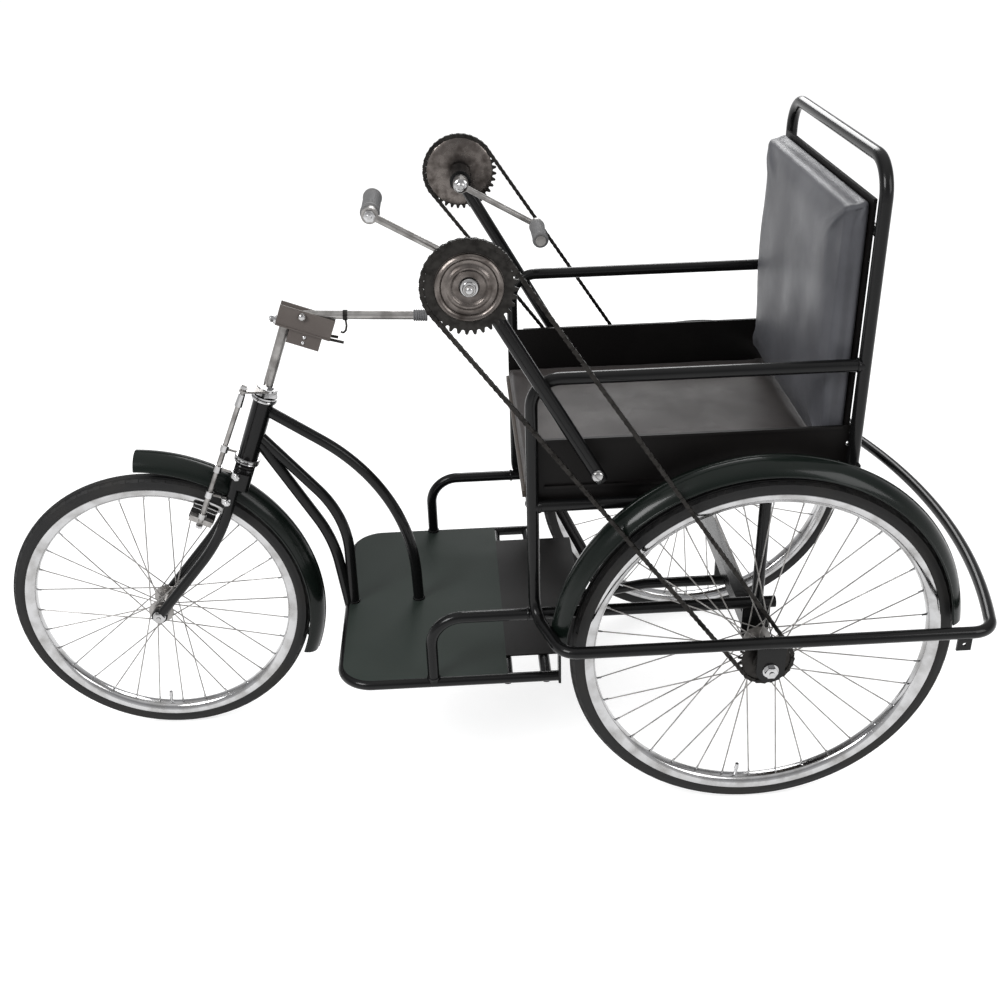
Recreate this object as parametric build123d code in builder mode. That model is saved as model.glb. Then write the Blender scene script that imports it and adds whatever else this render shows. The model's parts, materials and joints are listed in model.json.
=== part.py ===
from build123d import *
import os
from math import cos, pi, radians, sin, sqrt

# Hand cranked tricycle. X runs from the front wheel (low) to the rear bumper (high), Y across, Z up.
# The origin is on the floor, in the middle of the whole length and width. All sizes in millimetres.

os.makedirs("parts", exist_ok=True)

# Wheels and wheelbase
wheelbase = 1170
rear_wheel_radius = 355
front_wheel_radius = 303
track_half = 328
tyre_radius = 19
rim_depth = 14
rim_half_width = 16
rim_floor_half_width = 10
rim_seat_drop = 33
spoke_radius = 1.2
hub_radius = 15
hub_flange_radius = 25
hub_flange_thick = 3
hub_half_length = 32
hub_flange_inset = 4
rear_spokes = 36
front_spokes = 32
spoke_lead_deg = 62

# Lengthwise places, measured from the rear axle
post_ahead = 415
back_behind = 147
head_low_ahead = 953
floor_front_ahead = 785
floor_rear_ahead = 468
tray_rear_ahead = 300
guard_ahead = 609
crank_ahead = 512

# Tubes
tube = 22
thin_tube = 16
column_tube = 24
clamp_gap = 0.3
side_y = 278
arm_height = 888
arm_bend = 50
post_foot_height = 470
rail_y = 408
rail_height = 420
rail_bend = 40
rail_step = 40
rail_straight_behind = 357
bumper_corner = 45
bumper_bow_deg = 17
top_bar_height = 1223
back_bend = 60

# Seat
seat_frame_height = 647
seat_board_thick = 12
seat_pad_thick = 24
seat_side_gap = 3
seat_front_ahead = 432
seat_rear_behind = 132
panel_thick = 2
panel_top = 772
panel_lip = 5
panel_rib_height = 682
back_board_thick = 6
back_pad_thick = 46
back_pad_top = 1163
back_pad_bottom = 706
back_pad_side_gap = 4
back_bar_heights = (760, 1110)
soft_gap = 0.3
pad_edge = 9

# Floor
floor_top = 285
floor_thick = 3
floor_rim_tube = 20
floor_corner = 60
tray_half_width = 219
rim_rear_ahead = 372
hanger_width = 24
hanger_thick = 5
guard_height = 420
guard_bend = 60

# Head, fork and tiller
head_angle_deg = 69
head_low_height = 635
head_length = 128
head_tube_radius = 20
steerer_radius = 12.5
cup_radius = 24
cup_height = 11
running_gap = 0.05
race_gap = 1
lock_nut_radius = 20
lock_nut_height = 11
stem_radius = 9.5
stem_top = 286
crown_height = 36
crown_half_width = 58
crown_depth = 38
crown_corner = 12
blade_tube = 20
blade_y = 46
blade_forward = 8
blade_knee_drop = 134
blade_knee_forward = 52
blade_bend = 400
dropout_radius = 16
dropout_thick = 6
front_axle_radius = 5
front_hub_half_length = 33

# Front frame tubes: the one bend of each, ahead of the rear axle and above the floor, and its radius
main_bend_ahead = 645
main_bend_height = 547
main_bend_radius = 395
main_foot_ahead = 640
main_head_share = 0.86
mid_bend_ahead = 774
mid_bend_height = 490
mid_bend_radius = 230
mid_foot_ahead = 776
mid_head_share = 0.44
down_bend_ahead = 805
down_bend_height = 440
down_bend_radius = 300
down_head_share = 0.38

# Tiller
tiller_tube = 16
tiller_bolt_height = 920
tiller_drop_deg = 2.9
tiller_bolt_ahead = 816
tiller_front_ahead = 828
tiller_rear_ahead = 586
tiller_grip_length = 26
tiller_grip_radius = 11
bracket_length = 104
bracket_height = 40
bracket_thick = 3
bracket_front = 18
bracket_gap = 1
clamp_length = 62
clamp_height = 28
bolt_radius = 4
bolt_head_radius = 7
bolt_head_height = 5

# Brake at the front rim
brake_forward = 54
brake_forward_top = 40
brake_leg_y = 43
brake_rod_radius = 5
brake_leg_low = -146
brake_bridge = -22
brake_guides = (-20, -80)
brake_arm_thick = 4
brake_eye_radius = 8
brake_rod_top = 10
shoe_length = 46
shoe_height = 12
shoe_inner_y = 12

# Fenders
fender_thick = 2.5
fender_half_width = 34
rear_fender_radius = 378
rear_fender_crown = 24
rear_fender_ahead = 12
rear_fender_raise = 18
rear_fender_from_deg = 5
rear_fender_to_deg = 176
front_fender_radius = 352
front_fender_crown = 28
front_fender_ahead = 18
front_fender_raise = 3
front_fender_from_deg = -22
front_fender_to_deg = 87

# Rear axle
axle_radius = 6
beam_size = 30
plate_thick = 5
plate_radius = 26
outer_plate_y = 400
rail_tail = 34
collar_radius = 9
nut_radius = 10
nut_height = 8
side_gap = 1

# Cranks and chains
crank_height = 1083
column_foot_ahead = 305
column_foot_height = 720
column_tail = 16
shell_radius = 21
shell_inner_y = 283
shell_outer_y = 352
spindle_radius = 8
chain_y = 368
pitch = 12.7
chainwheel_teeth = 36
sprocket_teeth = 24
tooth_thick = 3
tooth_height = 3.6
tooth_depth = 4.4
tooth_corner_shares = (0, 0.28, 0.42, 0.58, 0.72)
chain_band_half = 4.5
chain_gap = 0.7
chain_plate = 1.8
mesh_run = 40
link_length = 8
link_half = 3
disc_radius = 60
disc_boss_radius = 22
disc_dish = 9
crank_length = 172
crank_arm_y = 255
crank_arm_tube = 12
crank_boss_radius = 15
crank_eye_radius = 13
left_crank_deg = 150
right_crank_deg = -30
grip_radius = 15
grip_length = 96
grip_pin_radius = 5
grip_gap = 3

# Small brackets
lamp_plate = 26
lamp_plate_thick = 4
lamp_hole_radius = 3.5
gusset_thick = 6
spine_drop_ahead = 300
spine_rise_ahead = 160
spine_rear_height = 292
spine_tail = 24
spine_bend = 60
brace_foot_ahead = 242
brace_top_drop = 7
fender_lug = 18

# Places worked out from the sizes above
corner_arc = 90 - bumper_bow_deg
bow_half = rail_y - bumper_corner * (1 - cos(radians(corner_arc)))
bow_radius = bow_half / sin(radians(bumper_bow_deg))
bow_rise = bow_radius * (1 - cos(radians(bumper_bow_deg)))
bumper_reach = rail_straight_behind + bumper_corner * sin(radians(corner_arc)) + bow_rise + tube / 2
rear_x = (wheelbase + front_wheel_radius - bumper_reach) / 2
front_x = rear_x - wheelbase
post_x = rear_x - post_ahead
back_x = rear_x + back_behind
crank_x = rear_x - crank_ahead
chain_drive_radius = pitch / (2 * sin(pi / chainwheel_teeth))
chain_driven_radius = pitch / (2 * sin(pi / sprocket_teeth))
column_y = side_y + tube / 2 + column_tube / 2 + clamp_gap
panel_y = side_y - tube / 2 - panel_thick
steer_lean = radians(90 - head_angle_deg)
steer_axis = Vector(sin(steer_lean), 0, cos(steer_lean))
steer_forward = Vector(-cos(steer_lean), 0, sin(steer_lean))
head_low = Vector(rear_x - head_low_ahead, 0, head_low_height)
floor_under = floor_top - floor_thick
floor_rim_height = floor_top - floor_rim_tube / 2
spine_height = floor_under - tube / 2


def save(piece, name):
    piece.part.label = name
    export_step(piece.part, f"parts/{name}.step")


def bent_tube(points, bend, outer):
    with BuildLine() as route:
        FilletPolyline(*points, radius=bend)
    with BuildSketch(Plane(origin=route.line @ 0, z_dir=route.line % 0)) as ring:
        Circle(outer / 2)
    sweep(ring.sketch, path=route.line)


def straight_tube(start, end, outer):
    run = Vector(end) - Vector(start)
    with BuildSketch(Plane(origin=start, z_dir=run)) as ring:
        Circle(outer / 2)
    extrude(ring.sketch, amount=run.length)


def cross_plane(x, y, z):
    """A plane that looks along +Y, with its own x along X and its own y down."""
    return Plane(origin=(x, y, z), x_dir=(1, 0, 0), z_dir=(0, 1, 0))


def round_bar(x, z, y_from, y_to, radius, bore=0):
    low = min(y_from, y_to)
    with BuildSketch(cross_plane(x, low, z)) as ring:
        Circle(radius)
        if bore:
            Circle(bore, mode=Mode.SUBTRACT)
    extrude(ring.sketch, amount=abs(y_to - y_from))


def cut_bar(x, z, y_from, y_to, radius):
    low = min(y_from, y_to)
    with BuildSketch(cross_plane(x, low, z)) as ring:
        Circle(radius)
    extrude(ring.sketch, amount=abs(y_to - y_from), mode=Mode.SUBTRACT)


def block(x_from, x_to, y_from, y_to, z_from, z_to):
    with BuildSketch(Plane.XY.offset(z_from)) as footprint:
        with Locations(((x_from + x_to) / 2, (y_from + y_to) / 2)):
            Rectangle(x_to - x_from, abs(y_to - y_from))
    extrude(footprint.sketch, amount=z_to - z_from)


def cope(*neighbours):
    for neighbour in neighbours:
        add(neighbour.part, mode=Mode.SUBTRACT)


def drop_scraps(piece):
    for scrap in piece.solids().sort_by(SortBy.VOLUME)[:-1]:
        add(scrap, mode=Mode.SUBTRACT)


def steer_point(along, forward=0, y=0):
    return head_low + steer_axis * along + steer_forward * forward + Vector(0, y, 0)


def steer_plane(along, forward=0, y=0):
    return Plane(origin=steer_point(along, forward, y), x_dir=(0, 1, 0), z_dir=steer_axis)


# Chassis tubes, from the back rest to the bumper
with BuildPart() as back_frame:
    bent_tube(
        ((back_x, -side_y, seat_frame_height - tube / 2), (back_x, -side_y, top_bar_height),
         (back_x, side_y, top_bar_height), (back_x, side_y, seat_frame_height - tube / 2)),
        back_bend, tube)
    for height in back_bar_heights:
        straight_tube((back_x, -side_y, height), (back_x, side_y, height), thin_tube)
save(back_frame, "back_frame")

with BuildPart() as arm_hoops:
    bent_tube(
        ((back_x, -side_y, arm_height), (post_x, -side_y, arm_height), (post_x, -side_y, post_foot_height)),
        arm_bend, tube)
    cope(back_frame)
    mirror(about=Plane.XZ)
save(arm_hoops, "arm_hoops")

rail_end = rear_x + rail_straight_behind
with BuildPart() as outer_rails:
    bent_tube(
        ((post_x, -side_y, post_foot_height), (post_x, -side_y, rail_height),
         (post_x + rail_step, -rail_y, rail_height), (rail_end, -rail_y, rail_height)),
        rail_bend, tube)
    mirror(about=Plane.XZ)
save(outer_rails, "outer_rails")

with BuildPart() as rear_bumper:
    with BuildLine(Plane.XY.offset(rail_height)) as bumper_line:
        near_corner = JernArc((rail_end, -rail_y), (1, 0), bumper_corner, corner_arc)
        bow = JernArc(near_corner @ 1, near_corner % 1, bow_radius, 2 * bumper_bow_deg)
        JernArc(bow @ 1, bow % 1, bumper_corner, corner_arc)
    with BuildSketch(Plane(origin=(rail_end, -rail_y, rail_height), z_dir=(1, 0, 0))):
        Circle(tube / 2)
    sweep()
save(rear_bumper, "rear_bumper")

# Inner rails carry the axle plates and the struts up to the seat
with BuildPart() as inner_rails:
    straight_tube((post_x, -side_y, rail_height), (rear_x + rail_tail, -side_y, rail_height), tube)
    straight_tube((rear_x, -side_y, rail_height), (rear_x, -side_y, seat_frame_height - tube / 2), tube)
    block(rear_x - plate_radius, rear_x + plate_radius, -side_y - plate_thick / 2, -side_y + plate_thick / 2,
          rear_wheel_radius, rail_height)
    round_bar(rear_x, rear_wheel_radius, -side_y - plate_thick / 2, -side_y + plate_thick / 2, plate_radius)
    cut_bar(rear_x, rear_wheel_radius, -side_y - plate_thick, -side_y + plate_thick, axle_radius)
    cope(outer_rails)
    mirror(about=Plane.XZ)
save(inner_rails, "inner_rails")

with BuildPart() as axle_plates:
    block(rear_x - plate_radius, rear_x + plate_radius, -outer_plate_y - plate_thick / 2,
          -outer_plate_y + plate_thick / 2, rear_wheel_radius, rail_height)
    round_bar(rear_x, rear_wheel_radius, -outer_plate_y - plate_thick / 2, -outer_plate_y + plate_thick / 2,
              plate_radius)
    cut_bar(rear_x, rear_wheel_radius, -outer_plate_y - plate_thick, -outer_plate_y + plate_thick, axle_radius)
    cope(outer_rails)
    mirror(about=Plane.XZ)
save(axle_plates, "axle_plates")

with BuildPart() as axle_beam:
    beam_end = side_y - plate_thick / 2
    block(rear_x - beam_size / 2, rear_x + beam_size / 2, -beam_end, beam_end,
          rear_wheel_radius - beam_size / 2, rear_wheel_radius + beam_size / 2)
save(axle_beam, "axle_beam")

hub_inner_y = track_half - hub_half_length
hub_outer_y = track_half + hub_half_length
sprocket_inner_y = hub_outer_y + side_gap
sprocket_outer_y = 2 * chain_y - sprocket_inner_y
with BuildPart() as rear_axles:
    outer_face = outer_plate_y + plate_thick / 2
    round_bar(rear_x, rear_wheel_radius, -beam_end, -outer_face - nut_height, axle_radius)
    round_bar(rear_x, rear_wheel_radius, -side_y - plate_thick / 2, -hub_inner_y + side_gap, collar_radius)
    round_bar(rear_x, rear_wheel_radius, -sprocket_outer_y - side_gap, -outer_plate_y + plate_thick / 2,
              collar_radius)
    round_bar(rear_x, rear_wheel_radius, -outer_face, -outer_face - nut_height, nut_radius)
    mirror(about=Plane.XZ)
save(rear_axles, "rear_axles")

# Seat frame between the posts and the back frame
with BuildPart() as seat_frame:
    straight_tube((post_x, -side_y, seat_frame_height), (back_x, -side_y, seat_frame_height), tube)
    straight_tube((post_x, side_y, seat_frame_height), (back_x, side_y, seat_frame_height), tube)
    straight_tube((post_x, -side_y, seat_frame_height), (post_x, side_y, seat_frame_height), tube)
    straight_tube((back_x, -side_y, seat_frame_height), (back_x, side_y, seat_frame_height), tube)
    cope(back_frame, arm_hoops)
save(seat_frame, "seat_frame")

with BuildPart() as side_panels:
    block(post_x - tube / 2, back_x, -panel_y - panel_thick, -panel_y, seat_frame_height - tube / 2, panel_top)
    block(post_x + tube, back_x - tube, -panel_y - panel_thick - panel_lip, -panel_y - panel_thick,
          panel_top - panel_lip, panel_top)
    block(post_x + tube, back_x - tube, -panel_y - panel_thick - panel_lip, -panel_y - panel_thick,
          panel_rib_height - panel_lip, panel_rib_height)
    cope(back_frame, seat_frame)
    drop_scraps(side_panels)
    mirror(about=Plane.XZ)
save(side_panels, "side_panels")

board_bottom = seat_frame_height + tube / 2
seat_half = panel_y - seat_side_gap
seat_front_x = rear_x - seat_front_ahead
seat_rear_x = rear_x + seat_rear_behind
with BuildPart() as seat_board:
    block(seat_front_x, seat_rear_x, -seat_half, seat_half, board_bottom, board_bottom + seat_board_thick)
save(seat_board, "seat_board")

pad_bottom = board_bottom + seat_board_thick + soft_gap
with BuildPart() as seat_pad:
    block(seat_front_x, seat_rear_x, -seat_half, seat_half, pad_bottom, pad_bottom + seat_pad_thick)
    fillet(seat_pad.edges().group_by(Axis.Z)[-1], radius=pad_edge)
save(seat_pad, "seat_pad")

board_x = back_x - thin_tube / 2 - back_board_thick
back_half = side_y - tube / 2 - back_pad_side_gap
with BuildPart() as back_board:
    block(board_x, board_x + back_board_thick, -back_half, back_half, back_pad_bottom, back_pad_top)
save(back_board, "back_board")

with BuildPart() as back_pad:
    block(board_x - soft_gap - back_pad_thick, board_x - soft_gap, -back_half, back_half,
          back_pad_bottom, back_pad_top)
    fillet(back_pad.edges().group_by(Axis.X)[0], radius=pad_edge)
save(back_pad, "back_pad")

# Floor, its rim tube and the leg guards
floor_front_x = rear_x - floor_front_ahead
floor_rear_x = rear_x - floor_rear_ahead
rim_rear_x = rear_x - rim_rear_ahead
tray_rear_x = rear_x - tray_rear_ahead
with BuildPart() as floor_rim:
    bent_tube(
        ((rim_rear_x, -side_y, floor_rim_height), (floor_front_x, -side_y, floor_rim_height),
         (floor_front_x, side_y, floor_rim_height), (rim_rear_x, side_y, floor_rim_height)),
        floor_corner, floor_rim_tube)
save(floor_rim, "floor_rim")

with BuildPart() as floor_plate:
    with BuildSketch(Plane.XY.offset(floor_under)) as floor_outline:
        with Locations(((floor_front_x + floor_rear_x) / 2, 0)):
            Rectangle(floor_rear_x - floor_front_x, 2 * side_y)
        fillet(floor_outline.vertices().group_by(Axis.X)[0], radius=floor_corner)
    extrude(amount=floor_thick)
    cope(floor_rim)
    drop_scraps(floor_plate)
save(floor_plate, "floor_plate")

with BuildPart() as floor_tray:
    block(floor_rear_x, tray_rear_x, -tray_half_width, tray_half_width, floor_under, floor_top)
save(floor_tray, "floor_tray")

guard_x = rear_x - guard_ahead
with BuildPart() as leg_guards:
    bent_tube(
        ((guard_x, -side_y, floor_rim_height), (guard_x, -side_y, guard_height),
         (post_x, -side_y, guard_height)), guard_bend, tube)
    cope(outer_rails, floor_rim, floor_plate)
    drop_scraps(leg_guards)
    mirror(about=Plane.XZ)
save(leg_guards, "leg_guards")

with BuildPart() as hangers:
    block(rim_rear_x, rim_rear_x + hanger_thick, -side_y - hanger_width / 2, -side_y + hanger_width / 2,
          floor_rim_height - floor_rim_tube / 2, rail_height)
    cope(inner_rails, outer_rails)
    mirror(about=Plane.XZ)
save(hangers, "hangers")

# Spine under the floor, the cross members that carry the tray, and the brace up to the seat
with BuildPart() as spine:
    bent_tube(
        ((floor_front_x, 0, spine_height), (rear_x - spine_drop_ahead, 0, spine_height),
         (rear_x - spine_rise_ahead, 0, spine_rear_height), (rear_x + spine_tail, 0, spine_rear_height)),
        spine_bend, tube)
    block(rear_x - beam_size / 2, rear_x + beam_size / 2, -gusset_thick / 2, gusset_thick / 2,
          spine_rear_height, rear_wheel_radius - beam_size / 2)
    for place in (floor_rear_x, rim_rear_x - tube):
        straight_tube((place, -side_y, spine_height), (place, side_y, spine_height), tube)
    cope(floor_rim, floor_plate, hangers)
save(spine, "spine")

with BuildPart() as seat_brace:
    straight_tube((post_x, 0, seat_frame_height - brace_top_drop), (rear_x - brace_foot_ahead, 0, spine_height), tube)
    cope(seat_frame, spine, floor_tray)
    drop_scraps(seat_brace)
save(seat_brace, "seat_brace")

# Head tube with its cups
with BuildPart() as head_tube:
    with BuildSketch(steer_plane(0)):
        Circle(head_tube_radius)
    extrude(amount=head_length)
    for cup_low in (-cup_height, head_length):
        with BuildSketch(steer_plane(cup_low)):
            Circle(cup_radius)
        extrude(amount=cup_height)
    with BuildSketch(steer_plane(-2 * cup_height)):
        Circle(steerer_radius + running_gap)
    extrude(amount=head_length + 4 * cup_height, mode=Mode.SUBTRACT)
save(head_tube, "head_tube")


def frame_run(head_share, bend_ahead, bend_height, foot_ahead, foot_height):
    """From the steering axis, round one bend, to the foot on the floor."""
    return (steer_point(head_length * head_share), Vector(rear_x - bend_ahead, 0, bend_height),
            Vector(rear_x - foot_ahead, 0, foot_height))


with BuildPart() as bore_plug:
    with BuildSketch(steer_plane(-cup_height)):
        Circle(steerer_radius + running_gap)
    extrude(amount=head_length + 2 * cup_height)

with BuildPart() as main_tube:
    bent_tube(frame_run(main_head_share, main_bend_ahead, main_bend_height, main_foot_ahead, floor_top),
              main_bend_radius, tube)
    cope(head_tube, bore_plug, floor_plate)
    drop_scraps(main_tube)
save(main_tube, "main_tube")

with BuildPart() as down_tube:
    bent_tube(frame_run(down_head_share, down_bend_ahead, down_bend_height, floor_front_ahead,
                        floor_rim_height), down_bend_radius, tube)
    cope(head_tube, bore_plug, floor_rim, floor_plate, spine)
    drop_scraps(down_tube)
save(down_tube, "down_tube")

with BuildPart() as mid_tube:
    bent_tube(frame_run(mid_head_share, mid_bend_ahead, mid_bend_height, mid_foot_ahead, floor_top),
              mid_bend_radius, tube)
    cope(head_tube, bore_plug, down_tube, floor_plate)
    drop_scraps(mid_tube)
save(mid_tube, "mid_tube")

# Columns that carry the crank shells, bolted to the side panels
with BuildPart() as crank_columns:
    column_head = Vector(crank_x, -column_y, crank_height)
    column_foot = Vector(rear_x - column_foot_ahead, -column_y, column_foot_height)
    column_end = column_foot + (column_foot - column_head).normalized() * column_tail
    straight_tube(column_head, column_end, column_tube)
    round_bar(crank_x, crank_height, -shell_inner_y, -shell_outer_y, shell_radius)
    cut_bar(crank_x, crank_height, -shell_inner_y + tube, -shell_outer_y - tube, spindle_radius + running_gap)
    round_bar(column_foot.X, column_foot.Z, -panel_y - panel_thick, -column_y, axle_radius)
    round_bar(column_foot.X, column_foot.Z, -column_y, -column_y - column_tube / 2 - bolt_head_height,
              nut_radius)
    mirror(about=Plane.XZ)
save(crank_columns, "crank_columns")


# Chains: one fixed loop a side, two side bands joined by links on the straight runs
drive_centre = Vector(crank_x, 0, crank_height)
driven_centre = Vector(rear_x, 0, rear_wheel_radius)


def loop_band(y_low, grow, operation):
    with BuildSketch(cross_plane(0, y_low, 0)) as belt:
        with Locations((crank_x, -crank_height)):
            Circle(chain_drive_radius + grow)
        with Locations((rear_x, -rear_wheel_radius)):
            Circle(chain_driven_radius + grow)
        make_hull()
    extrude(belt.sketch, amount=chain_plate, mode=operation)


centre_run = driven_centre - drive_centre
centre_way = centre_run.normalized()
centre_side = Vector(centre_way.Z, 0, -centre_way.X)
cone_share = (chain_drive_radius - chain_driven_radius) / centre_run.length
band_low = chain_y + tooth_thick / 2 + chain_gap
with BuildPart() as chains:
    for y_low in (-band_low - chain_plate, -2 * chain_y + band_low):
        loop_band(y_low, chain_band_half, Mode.ADD)
        loop_band(y_low, -chain_band_half, Mode.SUBTRACT)
    for turn in (1, -1):
        normal = centre_way * cone_share + centre_side * (turn * sqrt(1 - cone_share ** 2))
        run_start = drive_centre + normal * chain_drive_radius
        run_end = driven_centre + normal * chain_driven_radius
        run = run_end - run_start
        links = int((run.length - 2 * mesh_run) / (2 * pitch))
        for link in range(links + 1):
            spot = run_start + run.normalized() * (mesh_run + link * 2 * pitch)
            with BuildSketch(Plane(origin=(spot.X, -band_low, spot.Z), x_dir=run, z_dir=(0, 1, 0))):
                Rectangle(link_length, 2 * link_half)
            extrude(amount=2 * (band_low - chain_y))
    mirror(about=Plane.XZ)
save(chains, "chains")


def fender_arc(centre, outer_radius, crown, from_deg, to_deg):
    """A guard of even thickness about an axle along Y. Angles turn from the rear (+X) up towards +Z."""
    start = radians(from_deg)
    out = Vector(cos(start), 0, sin(start))
    curve = (fender_half_width ** 2 + crown ** 2) / (2 * crown)
    with BuildSketch(Plane(origin=centre, x_dir=(0, 1, 0), z_dir=Vector(0, 1, 0).cross(out))) as section:
        with Locations((0, outer_radius - curve)):
            Circle(curve)
            Circle(curve - fender_thick, mode=Mode.SUBTRACT)
        with Locations((0, outer_radius)):
            Rectangle(2 * fender_half_width + 2 * fender_thick, 2 * crown, mode=Mode.INTERSECT)
    revolve(section.sketch, axis=Axis(centre, (0, -1, 0)), revolution_arc=to_deg - from_deg)


with BuildPart() as rear_fenders:
    fender_arc(Vector(rear_x - rear_fender_ahead, -track_half, rear_wheel_radius + rear_fender_raise),
               rear_fender_radius, rear_fender_crown, rear_fender_from_deg, rear_fender_to_deg)
    cope(outer_rails)
    drop_scraps(rear_fenders)
    mirror(about=Plane.XZ)
save(rear_fenders, "rear_fenders")

# Lugs that tie the fenders' inner edges to the back frame
with BuildPart() as fender_lugs:
    lug_rise = sqrt((rear_fender_radius - rear_fender_crown) ** 2 - (back_behind + rear_fender_ahead) ** 2)
    lug_middle = rear_wheel_radius + rear_fender_raise + lug_rise
    block(back_x - fender_lug / 2, back_x + fender_lug / 2, -track_half + fender_half_width - fender_thick,
          -side_y, lug_middle, lug_middle + fender_lug)
    cope(back_frame, rear_fenders)
    drop_scraps(fender_lugs)
    mirror(about=Plane.XZ)
save(fender_lugs, "fender_lugs")

# Lamp brackets under the bumper corners
with BuildPart() as lamp_brackets:
    block(rail_end - lamp_plate, rail_end, -rail_y - lamp_plate_thick / 2, -rail_y + lamp_plate_thick / 2,
          rail_height - tube / 2 - lamp_plate, rail_height)
    cut_bar(rail_end - lamp_plate / 2, rail_height - tube / 2 - lamp_plate / 2, -rail_y - tube, -rail_y + tube,
            lamp_hole_radius)
    cope(outer_rails)
    mirror(about=Plane.XZ)
save(lamp_brackets, "lamp_brackets")

# Wheels. Columns: name, centre x, centre y, outer radius, spokes, hub half length, bore
wheels = (
    ("left", rear_x, -track_half, rear_wheel_radius, rear_spokes, hub_half_length, axle_radius),
    ("right", rear_x, track_half, rear_wheel_radius, rear_spokes, hub_half_length, axle_radius),
    ("front", front_x, 0, front_wheel_radius, front_spokes, front_hub_half_length, front_axle_radius),
)
for name, x, y, radius, spoke_count, half_length, bore in wheels:
    wheel_axis = Axis((x, y, radius), (0, 1, 0))
    section = Plane(origin=(x, y, radius), x_dir=(0, 1, 0), z_dir=(1, 0, 0))
    seat = radius - rim_seat_drop
    with BuildPart() as tyre:
        with BuildSketch(section):
            with Locations((0, radius - tyre_radius)):
                Circle(tyre_radius)
            with Locations((0, seat - tyre_radius)):
                Rectangle(2 * tyre_radius, 2 * tyre_radius, mode=Mode.SUBTRACT)
        revolve(axis=wheel_axis)
    save(tyre, f"{name}_tyre")

    with BuildPart() as rim:
        with BuildSketch(section):
            with BuildLine():
                Polyline((-rim_half_width, seat), (rim_half_width, seat),
                         (rim_floor_half_width, seat - rim_depth), (-rim_floor_half_width, seat - rim_depth),
                         close=True)
            make_face()
        revolve(axis=wheel_axis)
    save(rim, f"{name}_rim")

    with BuildPart() as spokes:
        round_bar(x, radius, y - half_length, y + half_length, hub_radius)
        for side in (-1, 1):
            flange = y + side * (half_length - hub_flange_inset)
            round_bar(x, radius, flange - hub_flange_thick / 2, flange + hub_flange_thick / 2,
                      hub_flange_radius)
        for spoke in range(spoke_count):
            side = 1 if spoke % 2 else -1
            lead = spoke_lead_deg if spoke % 4 < 2 else -spoke_lead_deg
            rim_turn = radians(360 * spoke / spoke_count)
            hub_turn = rim_turn + radians(lead)
            hole = hub_flange_radius - hub_flange_thick
            reach = seat - rim_depth
            start = Vector(x + hole * cos(hub_turn), y + side * (half_length - hub_flange_inset),
                           radius + hole * sin(hub_turn))
            end = Vector(x + reach * cos(rim_turn), y, radius + reach * sin(rim_turn))
            straight_tube(start, end, 2 * spoke_radius)
        cut_bar(x, radius, y - 2 * half_length, y + 2 * half_length, bore + running_gap)
        cope(rim)
    save(spokes, f"{name}_spokes")


def tooth_points(teeth, pitch_radius):
    """The outline of a toothed ring, about its own centre."""
    tip = pitch_radius + tooth_height
    root = pitch_radius - tooth_depth
    step = 360 / teeth
    corner_radii = (root, root, tip, tip, root)
    points = []
    for tooth in range(teeth):
        for corner_radius, step_share in zip(corner_radii, tooth_corner_shares):
            turn = radians(step * (tooth + step_share))
            points.append((corner_radius * cos(turn), corner_radius * sin(turn)))
    return points


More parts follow.
